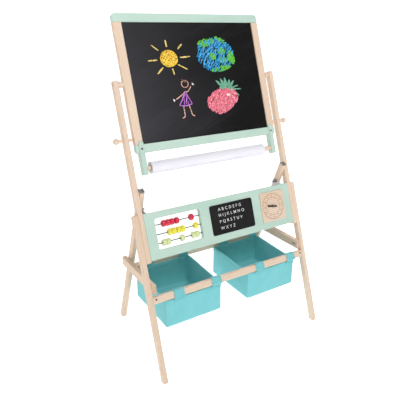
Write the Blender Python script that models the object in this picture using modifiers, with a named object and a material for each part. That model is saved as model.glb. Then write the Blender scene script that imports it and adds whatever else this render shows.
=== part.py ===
"""Kids easel: an A-frame of pine battens that stands on four feet.

Frame: metres, +Z up, the floor at z = 0, the front of the easel towards -Y,
the origin at the middle of the footprint.
Each side has three layers of battens, from outside in: front leg, upright, rear leg.
The writing board turns on two pins near the tops of the uprights, two pegs lock it,
a mint play panel with an abacus, a letter board and a clock spans the uprights, and
two fabric bins hang from a front and a back rail.
"""

import math

import bmesh
import bpy
from mathutils import Matrix, Vector

# ---------------------------------------------------------------- dimensions
GAP = 0.0003                      # clearance between touching pieces
BATTEN_W = 0.0147                 # batten thickness, along X
BATTEN_D = 0.0200                 # batten depth, square to its length
OUTER_X = 0.3000                  # outer faces of the front legs
LEAN = math.atan(0.350)           # lean of the front legs and uprights from vertical
FRONT_Y = -0.19843                # where the front plane meets the floor
EDGE = 0.0012                     # eased edges of the battens

LEG_X1 = OUTER_X
LEG_X0 = LEG_X1 - BATTEN_W
UP_X1 = LEG_X0 - GAP
UP_X0 = UP_X1 - BATTEN_W
REAR_X1 = UP_X0 - GAP
REAR_X0 = REAR_X1 - BATTEN_W

LEG_TOP_Z = 0.4680
UP_BOTTOM_Z = 0.3345
UP_TOP_Z = 0.8275
FOOT_SINK = 0.0030                # how far the square end would reach below the floor

PIVOT_Z = 0.8140                  # board pivot
CROSS_Z = 0.5140                  # bolt where rear leg crosses upright
LEG_BOLT_Z = 0.4000               # bolt that joins front leg and upright
REAR_FOOT_Y = 0.18807             # rear leg centre line at the floor
REAR_PAST = 0.0170                # rear leg length above the crossing bolt

SIDE_RAIL_Z0, SIDE_RAIL_Z1 = 0.2480, 0.2760
SIDE_RAIL_Y0, SIDE_RAIL_Y1 = -0.1069, 0.1071
RAIL_H = 0.0210                   # front and back rail height along the slope
RAIL_T = 0.0150                   # front and back rail thickness
RAIL_Z = 0.2330                   # height of the middle of both rails

PANEL_Z0, PANEL_Z1 = 0.3395, 0.4680
PANEL_T = 0.0150
PANEL_R = 0.0035
WINDOW_X = (-0.2385, -0.0865)
WINDOW_Z = (0.3625, 0.4500)
WINDOW_R = 0.0080
WIRE_R = 0.0015
WIRE_HOLE_R = 0.0019
WIRE_Z = (0.4290, 0.4025, 0.3775)  # heights on the panel's middle plane
WIRE_END = 0.0100                 # wire held in the panel past the window
BEAD_R = 0.0101
BEAD_L = 0.0132
BEAD_BORE_R = 0.0023

LETTER_X = (-0.0525, 0.1095)
LETTER_Z = (0.3610, 0.4490)
LETTER_R = 0.0070
CLOCK_X = (0.1435, 0.2415)
CLOCK_Z = (0.3600, 0.4525)
CLOCK_R = 0.0030
PLATE_T = 0.0030
POCKET_D = 0.0018
HAND_T = 0.0012
HAND_W = 0.0058
HOUR_LEN, MINUTE_LEN = 0.0165, 0.0240
HOUR_ANGLE = math.radians(102.0)   # clockwise from twelve
MINUTE_ANGLE = math.radians(281.0)
CLOCK_PIN_R = 0.0016

BOARD_W = 0.2540                  # half width
BOARD_H = 0.1980                  # half height
BOARD_T = 0.0160
STILE_W = 0.0250
BOARD_RAIL_H = 0.0245
BOARD_CORNER_R = 0.0085
GROOVE_D = 0.0063
GROOVE_W = 0.0034                 # half width of the panel groove
SHEET_T = 0.0028
SHEET_IN = 0.0058                 # sheet edge held in the groove

PIVOT_R = 0.0050
PIVOT_HOLE_R = 0.0054
PIVOT_IN = 0.0160
COLLAR_R = 0.0085
PEG_R = 0.0040
PEG_HOLE_R = 0.0045
PEG_DOWN = 0.1568                 # peg axis below the board pivot along the slope
PEG_TIP_CLEAR = 0.0006
PEG_BALL_R = 0.0088
PEG_BALL_X = 0.3055

BRACKET_X = (0.2290, 0.2440)
BRACKET_D = 0.0110                # half depth
BRACKET_LEN = 0.0635
BRACKET_LAP_Z = -0.1660           # top of the thin part that laps the board's front corner
DOWEL_END = 0.2410                # dowel stops inside the brackets' blind holes
ROLL_DOWN = 0.2430                # paper axis below the board pivot
DOWEL_R = 0.0075
DOWEL_HOLE_R = 0.0079
ROLL_R = 0.0180
ROLL_BORE_R = 0.0081
ROLL_X = (-0.2170, 0.1940)

BIN_WALL = 0.0024
BIN_Y = (-0.1131, 0.0953)         # outer faces of the front and back walls
BIN_Z = (0.1240, 0.2235)
BIN_LEFT_X = (-0.2455, -0.0495)
BIN_RIGHT_X = (0.0560, 0.2520)
BIN_CORNER_R = 0.0060
LOOP_W = 0.0340
LOOP_CLEAR = 0.0012
LOOP_T = 0.0018

BOLT_R = 0.0030
BOLT_HOLE_R = 0.0034
BOLT_HEAD_R = 0.0060
SEG = 24

# ---------------------------------------------------------------- scene set-up
for old in list(bpy.data.objects):
    bpy.data.objects.remove(old, do_unlink=True)

scene = bpy.context.scene
EASEL = bpy.data.collections.new("kids_easel")
CUTTERS = bpy.data.collections.new("cutters")
scene.collection.children.link(EASEL)
scene.collection.children.link(CUTTERS)
CUTTERS.hide_render = True


def material(name, colour, roughness, metallic=0.0):
    made = bpy.data.materials.new(name)
    made.use_nodes = True
    shader = made.node_tree.nodes["Principled BSDF"]
    shader.inputs["Base Color"].default_value = (*colour, 1.0)
    shader.inputs["Roughness"].default_value = roughness
    shader.inputs["Metallic"].default_value = metallic
    made.diffuse_color = (*colour, 1.0)
    return made


PINE = (0.82, 0.64, 0.44)
MINT = (0.50, 0.72, 0.60)
TURQUOISE = (0.10, 0.52, 0.58)
BLACK = (0.018, 0.018, 0.020)
WHITE = (0.90, 0.90, 0.90)
PAPER = (0.84, 0.81, 0.86)
STEEL = (0.42, 0.43, 0.45)
DARK_STEEL = (0.10, 0.11, 0.12)
RED = (0.78, 0.03, 0.07)
YELLOW = (0.86, 0.84, 0.08)
PALE_GREEN = (0.68, 0.78, 0.44)

# ---------------------------------------------------------------- frames of reference
# Slope frame: x across, s up the slope from the floor line, d into the easel.
SLOPE = Matrix.Translation((0, FRONT_Y, 0)) @ Matrix.Rotation(-LEAN, 4, "X")
COS = math.cos(LEAN)


def s_of(z, d=0.0):
    """Distance up the slope of the point at height z and depth d."""
    return (z + d * math.sin(LEAN)) / COS


def at_slope(x, s, d):
    return SLOPE @ Vector((x, d, s))


MID_D = BATTEN_D / 2
PIVOT_S = s_of(PIVOT_Z, MID_D)
PIVOT = at_slope(0, PIVOT_S, MID_D)
CROSS = at_slope(0, s_of(CROSS_Z, MID_D), MID_D)
REAR_LEAN = math.atan((REAR_FOOT_Y - CROSS.y) / CROSS.z)
# Rear frame: origin at the foot's centre line, z up the leg, y away from the front.
REAR = Matrix.Translation((0, REAR_FOOT_Y, 0)) @ Matrix.Rotation(REAR_LEAN, 4, "X")
REAR_CROSS_S = CROSS.z / math.cos(REAR_LEAN)
BOARD = Matrix.Translation(PIVOT) @ Matrix.Rotation(-LEAN, 4, "X")


# ---------------------------------------------------------------- builders
def new_object(name, mesh, collection=EASEL):
    obj = bpy.data.objects.new(name, mesh)
    collection.objects.link(obj)
    return obj


def box_mesh(x0, x1, y0, y1, z0, z1):
    bm = bmesh.new()
    bmesh.ops.create_cube(bm, size=1.0)
    bmesh.ops.scale(bm, vec=(x1 - x0, y1 - y0, z1 - z0), verts=bm.verts)
    bmesh.ops.translate(bm, vec=((x0 + x1) / 2, (y0 + y1) / 2, (z0 + z1) / 2), verts=bm.verts)
    mesh = bpy.data.meshes.new("box")
    bm.to_mesh(mesh)
    bm.free()
    return mesh


def rod_mesh(radius, x0, x1, y, z, segments=SEG):
    """A cylinder along X whose axis passes through (y, z)."""
    bm = bmesh.new()
    bmesh.ops.create_cone(bm, cap_ends=True, segments=segments, radius1=radius, radius2=radius, depth=x1 - x0)
    bmesh.ops.rotate(bm, verts=bm.verts, cent=(0, 0, 0), matrix=Matrix.Rotation(math.pi / 2, 3, "Y"))
    bmesh.ops.translate(bm, vec=((x0 + x1) / 2, y, z), verts=bm.verts)
    mesh = bpy.data.meshes.new("rod")
    bm.to_mesh(mesh)
    bm.free()
    return mesh


def peg_mesh(radius, y0, y1, x, z, segments=SEG):
    """A cylinder along Y whose axis passes through (x, z)."""
    bm = bmesh.new()
    bmesh.ops.create_cone(bm, cap_ends=True, segments=segments, radius1=radius, radius2=radius, depth=y1 - y0)
    bmesh.ops.rotate(bm, verts=bm.verts, cent=(0, 0, 0), matrix=Matrix.Rotation(-math.pi / 2, 3, "X"))
    bmesh.ops.translate(bm, vec=(x, (y0 + y1) / 2, z), verts=bm.verts)
    mesh = bpy.data.meshes.new("peg")
    bm.to_mesh(mesh)
    bm.free()
    return mesh


def rounded_outline(x0, x1, z0, z1, radius, steps=6):
    points = []
    for cx, cz, start in (
        (x1 - radius, z1 - radius, 0.0),
        (x0 + radius, z1 - radius, 0.5 * math.pi),
        (x0 + radius, z0 + radius, math.pi),
        (x1 - radius, z0 + radius, 1.5 * math.pi),
    ):
        for i in range(steps + 1):
            angle = start + 0.5 * math.pi * i / steps
            points.append((cx + radius * math.cos(angle), cz + radius * math.sin(angle)))
    return points


def plate_mesh(outline, y0, y1):
    """A closed outline in x and z, filled and extruded from y0 to y1."""
    curve = bpy.data.curves.new("outline", "CURVE")
    curve.dimensions = "2D"
    curve.fill_mode = "BOTH"
    curve.extrude = (y1 - y0) / 2
    spline = curve.splines.new("POLY")
    spline.points.add(len(outline) - 1)
    for point, (x, z) in zip(spline.points, outline):
        point.co = (x, z, 0.0, 1.0)
    spline.use_cyclic_u = True
    holder = new_object("outline_holder", curve, CUTTERS)
    holder.matrix_world = Matrix.Translation((0, (y0 + y1) / 2, 0)) @ Matrix.Rotation(math.pi / 2, 4, "X")
    bpy.context.view_layer.update()
    graph = bpy.context.evaluated_depsgraph_get()
    mesh = bpy.data.meshes.new_from_object(holder.evaluated_get(graph))
    bm = bmesh.new()
    bm.from_mesh(mesh)
    bmesh.ops.remove_doubles(bm, verts=bm.verts, dist=1e-6)
    bmesh.ops.transform(bm, matrix=holder.matrix_world, verts=bm.verts)
    bmesh.ops.recalc_face_normals(bm, faces=bm.faces)
    bm.to_mesh(mesh)
    bm.free()
    bpy.data.objects.remove(holder, do_unlink=True)
    return mesh


def turned_mesh(profile, steps=SEG):
    """A profile of (x, radius) points turned about the X axis; it starts and ends on the axis or closes on itself."""
    mesh = bpy.data.meshes.new("profile")
    closed = profile[0][1] > 0
    edges = [(i, i + 1) for i in range(len(profile) - 1)]
    if closed:
        edges.append((len(profile) - 1, 0))
    mesh.from_pydata([(x, 0.0, r) for x, r in profile], edges, [])
    holder = new_object("profile_holder", mesh, CUTTERS)
    screw = holder.modifiers.new("turn", "SCREW")
    screw.axis = "X"
    screw.angle = 2 * math.pi
    screw.steps = screw.render_steps = steps
    screw.use_merge_vertices = True
    screw.merge_threshold = 0.00001
    bpy.context.view_layer.update()
    graph = bpy.context.evaluated_depsgraph_get()
    turned = bpy.data.meshes.new_from_object(holder.evaluated_get(graph))
    bm = bmesh.new()
    bm.from_mesh(turned)
    bmesh.ops.remove_doubles(bm, verts=bm.verts, dist=1e-6)
    bmesh.ops.recalc_face_normals(bm, faces=bm.faces)
    if bm.calc_volume(signed=True) < 0:
        bmesh.ops.reverse_faces(bm, faces=bm.faces)
    bm.to_mesh(turned)
    bm.free()
    bpy.data.objects.remove(holder, do_unlink=True)
    return turned


def moved(mesh, matrix):
    mesh.transform(matrix)
    return mesh


def bake(obj):
    """Replaces the object's mesh by what its modifiers make of it."""
    bpy.context.view_layer.update()
    graph = bpy.context.evaluated_depsgraph_get()
    made = bpy.data.meshes.new_from_object(obj.evaluated_get(graph))
    obj.modifiers.clear()
    obj.data = made
    return obj


def ease(obj, width=EDGE, segments=1, angle=40.0):
    bevel = obj.modifiers.new("eased edges", "BEVEL")
    bevel.width = width
    bevel.segments = segments
    bevel.limit_method = "ANGLE"
    bevel.angle_limit = math.radians(angle)
    bevel.harden_normals = False
    return bake(obj)


def combine(obj, mesh, operation):
    """Cuts the mesh from the object, joins it on, or keeps only what both share."""
    cutter = new_object("cutter", mesh, CUTTERS)
    cutter.hide_render = True
    cutter.display_type = "WIRE"
    boolean = obj.modifiers.new(operation.lower(), "BOOLEAN")
    boolean.operation = operation
    boolean.solver = "EXACT"
    boolean.object = cutter
    bake(obj)
    bpy.data.objects.remove(cutter, do_unlink=True)
    return obj


def cut(obj, mesh):
    return combine(obj, mesh, "DIFFERENCE")


def join(obj, mesh):
    return combine(obj, mesh, "UNION")


def finish(obj, colour, roughness, metallic=0.0, origin=None, smooth=False):
    """Gives the piece its material and, for a moving piece, its origin on the joint axis."""
    obj.data.materials.clear()
    obj.data.materials.append(material(obj.name + "_mat", colour, roughness, metallic))
    for polygon in obj.data.polygons:
        polygon.use_smooth = smooth
        polygon.material_index = 0
    if smooth:
        obj.data.set_sharp_from_angle(angle=math.radians(35))
    if origin is not None:
        obj.data.transform(Matrix.Translation(-Vector(origin)))
        obj.location = origin
    return obj


SIDES = (("L", -1), ("R", 1))


def span(side, inner, outer):
    """The x range of a layer on one side."""
    return (inner, outer) if side > 0 else (-outer, -inner)


# ---------------------------------------------------------------- stand
BIG = 0.2
for tag, side in SIDES:
    # Front leg: square ends, the lower one flattened where it stands on the floor.
    x0, x1 = span(side, LEG_X0, LEG_X1)
    s0 = (-FOOT_SINK + BATTEN_D * math.sin(LEAN)) / COS
    leg = new_object(f"front_leg_{tag}", moved(box_mesh(x0, x1, 0, BATTEN_D, s0, s_of(LEG_TOP_Z)), SLOPE))
    cut(leg, box_mesh(-1, 1, -1, 1, -BIG, 0.0))
    ease(leg)
    centre = at_slope(0, s_of(LEG_BOLT_Z, MID_D), MID_D)
    cut(leg, rod_mesh(BOLT_HOLE_R, x0 - 0.01, x1 + 0.01, centre.y, centre.z))
    head = (x1 - 0.0030, x1 + 0.01) if side > 0 else (x0 - 0.01, x0 + 0.0030)
    cut(leg, rod_mesh(BOLT_HEAD_R + 0.0004, head[0], head[1], centre.y, centre.z))
    finish(leg, PINE, 0.55)

    # Upright: from just under the play panel to the board pivot.
    x0, x1 = span(side, UP_X0, UP_X1)
    upright = new_object(f"upright_{tag}", moved(box_mesh(x0, x1, 0, BATTEN_D, s_of(UP_BOTTOM_Z), s_of(UP_TOP_Z)), SLOPE))
    ease(upright)
    centre = at_slope(0, s_of(LEG_BOLT_Z, MID_D), MID_D)
    cut(upright, rod_mesh(BOLT_HOLE_R, x0 - 0.01, x1 + 0.01, centre.y, centre.z))
    cut(upright, rod_mesh(PIVOT_HOLE_R, x0 - 0.01, x1 + 0.01, PIVOT.y, PIVOT.z))
    peg_at = at_slope(0, PIVOT_S - PEG_DOWN, MID_D)
    cut(upright, rod_mesh(PEG_HOLE_R, x0 - 0.01, x1 + 0.01, peg_at.y, peg_at.z))
    cut(upright, rod_mesh(BOLT_HOLE_R, x0 - 0.01, x1 + 0.01, CROSS.y, CROSS.z))
    finish(upright, PINE, 0.55)

    # Rear leg, inside the upright, crossing it at one bolt.
    x0, x1 = span(side, REAR_X0, REAR_X1)
    low = (-FOOT_SINK + BATTEN_D / 2 * math.sin(REAR_LEAN)) / math.cos(REAR_LEAN)
    rear = new_object(
        f"rear_leg_{tag}",
        moved(box_mesh(x0, x1, -BATTEN_D / 2, BATTEN_D / 2, low, REAR_CROSS_S + REAR_PAST), REAR),
    )
    cut(rear, box_mesh(-1, 1, -1, 1, -BIG, 0.0))
    ease(rear)
    cut(rear, rod_mesh(BOLT_HOLE_R, x0 - 0.01, x1 + 0.01, CROSS.y, CROSS.z))
    stay_at = REAR @ Vector((0, 0, 0.4650 / math.cos(REAR_LEAN)))
    cut(rear, rod_mesh(BOLT_HOLE_R, x0 - 0.01, x1 + 0.01, stay_at.y, stay_at.z))
    finish(rear, PINE, 0.55)

    # Side rail, in the layer of the upright.
    x0, x1 = span(side, UP_X0, UP_X1)
    rail = new_object(f"side_rail_{tag}", box_mesh(x0, x1, SIDE_RAIL_Y0, SIDE_RAIL_Y1, SIDE_RAIL_Z0, SIDE_RAIL_Z1))
    ease(rail)
    finish(rail, PINE, 0.55)

# Front rail between the front legs, back rail between the rear legs.
rail_s = s_of(RAIL_Z)
front_rail = new_object(
    "front_rail",
    moved(box_mesh(-UP_X1, UP_X1, 0.0, RAIL_T, rail_s - RAIL_H / 2, rail_s + RAIL_H / 2), SLOPE),
)
ease(front_rail, 0.0018)
finish(front_rail, PINE, 0.55)

back_s = RAIL_Z / math.cos(REAR_LEAN)
back_rail = new_object(
    "back_rail",
    moved(box_mesh(-REAR_X0 + GAP, REAR_X0 - GAP, -RAIL_T / 2, RAIL_T / 2, back_s - RAIL_H / 2, back_s + RAIL_H / 2), REAR),
)
ease(back_rail, 0.0018)
finish(back_rail, PINE, 0.55)

# ---------------------------------------------------------------- hardware of the stand
for tag, side in SIDES:
    def outward(x):
        return x * side

    def rod_between(radius, a, b, y, z, segments=SEG):
        return rod_mesh(radius, min(a, b), max(a, b), y, z, segments)

    # A bolt joins front leg and upright, its low head sunk in the leg.
    centre = at_slope(0, s_of(LEG_BOLT_Z, MID_D), MID_D)
    bolt = new_object(
        f"leg_bolt_{tag}",
        rod_between(BOLT_R, outward(UP_X0 + 0.0004), outward(LEG_X1 - 0.0015), centre.y, centre.z, 20),
    )
    join(bolt, rod_between(BOLT_HEAD_R, outward(LEG_X1 - 0.0027), outward(LEG_X1 - 0.0006), centre.y, centre.z, 20))
    finish(bolt, STEEL, 0.35, 1.0, smooth=True)

    # Crossing bolt of upright and rear leg.
    cross_bolt = new_object(
        f"cross_bolt_{tag}",
        rod_between(BOLT_R, outward(REAR_X0 + 0.0004), outward(UP_X1 - 0.0002), CROSS.y, CROSS.z, 20),
    )
    finish(cross_bolt, STEEL, 0.35, 1.0, smooth=True)

    # Folded steel fitting on the top end of the rear leg: a base and two cheeks.
    x0, x1 = span(side, REAR_X0 + 0.0006, REAR_X1 - 0.0002)
    top_s = REAR_CROSS_S + REAR_PAST
    fitting = new_object(
        f"top_fitting_{tag}",
        moved(box_mesh(x0, x1, -BATTEN_D / 2 + 0.0012, BATTEN_D / 2 - 0.0012, top_s + GAP, top_s + 0.0052), REAR),
    )
    cut(
        fitting,
        moved(box_mesh(x0 + 0.0018, x1 - 0.0018, -0.05, 0.05, top_s + GAP + 0.0020, top_s + 0.05), REAR),
    )
    ease(fitting, 0.0005)
    finish(fitting, DARK_STEEL, 0.40, 0.9)

    # Steel stay: one leaf along the inner face of the rear leg, the other behind the play panel.
    stay_t = 0.0018
    panel_back_s = s_of(0.4540, PANEL_T)
    foot_point = at_slope(0, panel_back_s, PANEL_T + GAP)
    a = outward(REAR_X0 - GAP)
    b = outward(REAR_X0 - GAP - stay_t)
    leaf = new_object(
        f"stay_{tag}",
        box_mesh(min(a, b), max(a, b), foot_point.y + 0.0006, stay_at.y + 0.0095, 0.4460, 0.4640),
    )
    join(leaf, rod_between(0.0098, a, b, stay_at.y, stay_at.z, 28))
    slope_cut = moved(box_mesh(-1, 1, -0.05, PANEL_T + GAP, -1, 2), SLOPE)
    c = outward(REAR_X0 - GAP - 0.0200)
    join(
        leaf,
        moved(
            box_mesh(min(a, c), max(a, c), PANEL_T + GAP, PANEL_T + GAP + stay_t, s_of(0.4470, PANEL_T), s_of(0.4620, PANEL_T)),
            SLOPE,
        ),
    )
    cut(leaf, slope_cut)
    cut(leaf, rod_between(BOLT_HOLE_R, outward(REAR_X0 - 0.01), outward(REAR_X0 + 0.01), stay_at.y, stay_at.z, 20))
    finish(leaf, STEEL, 0.38, 1.0)

    # Wing nut and its bolt through the rear leg.
    hub_a = outward(REAR_X0 - GAP - stay_t - GAP)
    hub_b = outward(REAR_X0 - GAP - stay_t - GAP - 0.0040)
    wing = new_object(f"wing_nut_{tag}", rod_between(BOLT_R, outward(REAR_X1 - 0.0006), hub_b, stay_at.y, stay_at.z, 20))
    join(wing, rod_between(0.0056, hub_a, hub_b, stay_at.y, stay_at.z, 20))
    wing_turn = Matrix.Translation((0, stay_at.y, stay_at.z)) @ Matrix.Rotation(math.radians(-32), 4, "X")
    base_a = outward(REAR_X0 - GAP - stay_t - GAP - 0.0010)
    tip_b = outward(REAR_X0 - GAP - stay_t - GAP - 0.0056)
    join(wing, moved(box_mesh(min(base_a, tip_b), max(base_a, tip_b), 0.0035, 0.0110, -0.0012, 0.0012), wing_turn))
    join(wing, moved(box_mesh(min(base_a, tip_b), max(base_a, tip_b), -0.0110, -0.0035, -0.0012, 0.0012), wing_turn))
    finish(wing, DARK_STEEL, 0.35, 1.0, smooth=True)

# ---------------------------------------------------------------- play panel
ps0, ps1 = s_of(PANEL_Z0), s_of(PANEL_Z1)
panel = new_object("play_panel", box_mesh(-REAR_X1, REAR_X1, 0.0, PANEL_T, ps0, ps1))
ease(panel, 0.0010)
cut(
    panel,
    plate_mesh(rounded_outline(*WINDOW_X, s_of(WINDOW_Z[0]), s_of(WINDOW_Z[1]), WINDOW_R), -0.01, PANEL_T + 0.01),
)
cut(
    panel,
    plate_mesh(
        rounded_outline(
            LETTER_X[0] - GAP, LETTER_X[1] + GAP, s_of(LETTER_Z[0]) - GAP, s_of(LETTER_Z[1]) + GAP, LETTER_R
        ),
        -0.01,
        POCKET_D,
    ),
)
cut(
    panel,
    plate_mesh(
        rounded_outline(CLOCK_X[0] - GAP, CLOCK_X[1] + GAP, s_of(CLOCK_Z[0]) - GAP, s_of(CLOCK_Z[1]) + GAP, CLOCK_R, 3),
        -0.01,
        POCKET_D,
    ),
)
clock_x = sum(CLOCK_X) / 2
clock_s = (s_of(CLOCK_Z[0]) + s_of(CLOCK_Z[1])) / 2
cut(panel, peg_mesh(CLOCK_PIN_R + GAP, -0.01, 0.0100, clock_x, clock_s, 16))
wire_s = [s_of(z, PANEL_T / 2) for z in WIRE_Z]
for s in wire_s:
    cut(panel, rod_mesh(WIRE_HOLE_R, -0.29, WINDOW_X[1] + WIRE_END + 0.0006, PANEL_T / 2, s, 12))
moved(panel.data, SLOPE)
finish(panel, MINT, 0.50)

for number, s in enumerate(wire_s, 1):
    wire = new_object(
        f"abacus_wire_{number}",
        moved(rod_mesh(WIRE_R, WINDOW_X[0] - WIRE_END, WINDOW_X[1] + WIRE_END, PANEL_T / 2, s, 12), SLOPE),
    )
    finish(wire, DARK_STEEL, 0.35, 0.9, smooth=True)

plate_d = (POCKET_D - GAP - PLATE_T, POCKET_D - GAP)
letter = new_object(
    "letter_board",
    moved(plate_mesh(rounded_outline(*LETTER_X, s_of(LETTER_Z[0]), s_of(LETTER_Z[1]), LETTER_R), *plate_d), SLOPE),
)
finish(letter, BLACK, 0.55)

clock = new_object(
    "clock_plate",
    plate_mesh(rounded_outline(*CLOCK_X, s_of(CLOCK_Z[0]), s_of(CLOCK_Z[1]), CLOCK_R, 3), *plate_d),
)
cut(clock, peg_mesh(CLOCK_PIN_R + GAP, -0.02, 0.02, clock_x, clock_s, 16))
moved(clock.data, SLOPE)
finish(clock, PINE, 0.55)

CLOCK_CENTRE = at_slope(clock_x, clock_s, plate_d[0])


def hand(name, length, angle, near, tail):
    """A clock hand lying near the plate, its hub on the clock pin."""
    d1 = plate_d[0] - near
    d0 = d1 - HAND_T
    body = new_object(name, peg_mesh(0.0044, d0, d1, 0, 0, 20))
    join(body, plate_mesh(rounded_outline(-HAND_W / 2, HAND_W / 2, -tail, length, HAND_W / 2 - 0.0002, 4), d0, d1))
    cut(body, peg_mesh(CLOCK_PIN_R + GAP, d0 - 0.01, d1 + 0.01, 0, 0, 16))
    moved(body.data, Matrix.Rotation(angle, 4, "Y"))
    moved(body.data, SLOPE @ Matrix.Translation((clock_x, 0, clock_s)))
    return finish(body, (0.06, 0.045, 0.04), 0.5, origin=CLOCK_CENTRE)


hand("hour_hand", HOUR_LEN, HOUR_ANGLE, GAP, 0.0040)
hand("minute_hand", MINUTE_LEN, MINUTE_ANGLE, GAP * 2 + HAND_T, 0.0040)
pin_face = plate_d[0] - GAP * 3 - HAND_T * 2
clock_pin = new_object("clock_pin", peg_mesh(CLOCK_PIN_R, pin_face - 0.0006, 0.0096, clock_x, clock_s, 16))
join(clock_pin, peg_mesh(0.0038, pin_face - 0.0012, pin_face, clock_x, clock_s, 20))
moved(clock_pin.data, SLOPE)
finish(clock_pin, STEEL, 0.35, 1.0, smooth=True)

# Beads: short barrels. Each row lists bead centres along X.
BEAD_ROWS = (
    ("red", RED, (-0.2085, -0.1950, -0.1815, -0.1655, -0.1155)),
    ("yellow", YELLOW, (-0.1935, -0.1800, -0.1645, -0.1510, -0.1050)),
    ("green", PALE_GREEN, (-0.2165, -0.2030, -0.1565, -0.1175, -0.1040)),
)


def bead_profile():
    half = BEAD_L / 2
    rim = 0.0074
    points = [(-half, BEAD_BORE_R), (-half, rim)]
    for i in range(1, 6):
        angle = math.pi * i / 6
        points.append((-half * math.cos(angle) * 0.96, rim + (BEAD_R - rim) * math.sin(angle) ** 0.8))
    points += [(half, rim), (half, BEAD_BORE_R)]
    return points


for (colour_name, colour, centres), s in zip(BEAD_ROWS, wire_s):
    for number, x in enumerate(centres, 1):
        centre = at_slope(x, s, PANEL_T / 2)
        bead = new_object(f"bead_{colour_name}_{number}", moved(turned_mesh(bead_profile(), 18), Matrix.Translation(centre)))
        finish(bead, colour, 0.30, origin=centre, smooth=True)

# ---------------------------------------------------------------- writing board
half_t = BOARD_T / 2
for tag, side in SIDES:
    x0, x1 = span(side, BOARD_W - STILE_W, BOARD_W)
    inner = BOARD_H - BOARD_RAIL_H - GAP
    stile = new_object(f"board_stile_{tag}", box_mesh(x0, x1, -half_t, half_t, -inner, inner))
    ease(stile, 0.0010)
    a = side * (BOARD_W - STILE_W - 0.01)
    b = side * (BOARD_W - STILE_W + GROOVE_D)
    cut(stile, box_mesh(min(a, b), max(a, b), -GROOVE_W, GROOVE_W, -0.3, 0.3))
    a, b = side * (BOARD_W + 0.01), side * (BOARD_W - PIVOT_IN - 0.0006)
    cut(stile, rod_mesh(PIVOT_HOLE_R, min(a, b), max(a, b), 0, 0))
    a, b = side * (BOARD_W + 0.01), side * (BOARD_W - 0.0120)
    cut(stile, rod_mesh(PEG_HOLE_R, min(a, b), max(a, b), 0, -PEG_DOWN))
    moved(stile.data, BOARD)
    finish(stile, PINE, 0.55, origin=PIVOT)

for name, up in (("board_top_rail", 1), ("board_bottom_rail", -1)):
    z0, z1 = (BOARD_H - BOARD_RAIL_H, BOARD_H) if up > 0 else (-BOARD_H, -BOARD_H + BOARD_RAIL_H)
    rail = new_object(name, box_mesh(-BOARD_W, BOARD_W, -half_t, half_t, z0, z1))
    # Outer corners rounded by a rounded plate of the whole board's outline.
    combine(
        rail,
        plate_mesh(rounded_outline(-BOARD_W, BOARD_W, -BOARD_H, BOARD_H, BOARD_CORNER_R), -half_t - 0.01, half_t + 0.01),
        "INTERSECT",
    )
    ease(rail, 0.0010)
    a = up * (BOARD_H - BOARD_RAIL_H - 0.01)
    b = up * (BOARD_H - BOARD_RAIL_H + GROOVE_D)
    reach = BOARD_W - STILE_W + GROOVE_D
    cut(rail, box_mesh(-reach, reach, -GROOVE_W, GROOVE_W, min(a, b), max(a, b)))
    moved(rail.data, BOARD)
    finish(rail, MINT, 0.50, origin=PIVOT)

sheet_x = BOARD_W - STILE_W + SHEET_IN
sheet_z = BOARD_H - BOARD_RAIL_H + SHEET_IN
for name, d0, d1, colour, rough in (
    ("chalkboard", -0.0002 - SHEET_T, -0.0002, BLACK, 0.75),
    ("whiteboard", 0.0002, 0.0002 + SHEET_T, WHITE, 0.15),
):
    sheet = new_object(name, moved(box_mesh(-sheet_x, sheet_x, d0, d1, -sheet_z, sheet_z), BOARD))
    finish(sheet, colour, rough, origin=PIVOT)

# Brackets under the board, the dowel through them and the paper on the dowel.
for tag, side in SIDES:
    x0, x1 = span(side, *BRACKET_X)
    bracket = new_object(
        f"roll_bracket_{tag}",
        box_mesh(x0, x1, -BRACKET_D, BRACKET_D, -BOARD_H - BRACKET_LEN, -BOARD_H - GAP),
    )
    ease(bracket, 0.0014)
    lap = new_object("lap", box_mesh(x0, x1, -BRACKET_D, -half_t - GAP, -BOARD_H - 0.0100, BRACKET_LAP_Z), CUTTERS)
    ease(lap, 0.0008)
    join(bracket, lap.data)
    bpy.data.objects.remove(lap, do_unlink=True)
    hole = span(side, BRACKET_X[0] - 0.01, DOWEL_END + 0.0004)
    cut(bracket, rod_mesh(DOWEL_HOLE_R, *hole, 0, -ROLL_DOWN))
    moved(bracket.data, BOARD)
    finish(bracket, MINT, 0.50, origin=PIVOT)

dowel = new_object("roll_dowel", rod_mesh(DOWEL_R, -DOWEL_END, DOWEL_END, 0, -ROLL_DOWN, 28))
ease(dowel, 0.0008)
moved(dowel.data, BOARD)
finish(dowel, PINE, 0.55, origin=PIVOT, smooth=True)

ROLL_AXIS = BOARD @ Vector((0, 0, -ROLL_DOWN))
roll = new_object(
    "paper_roll",
    moved(
        turned_mesh(
            [(ROLL_X[0], ROLL_BORE_R), (ROLL_X[0], ROLL_R), (ROLL_X[1], ROLL_R), (ROLL_X[1], ROLL_BORE_R)],
            32,
        ),
        Matrix.Translation(ROLL_AXIS),
    ),
)
finish(roll, PAPER, 0.85, origin=ROLL_AXIS, smooth=True)

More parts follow.
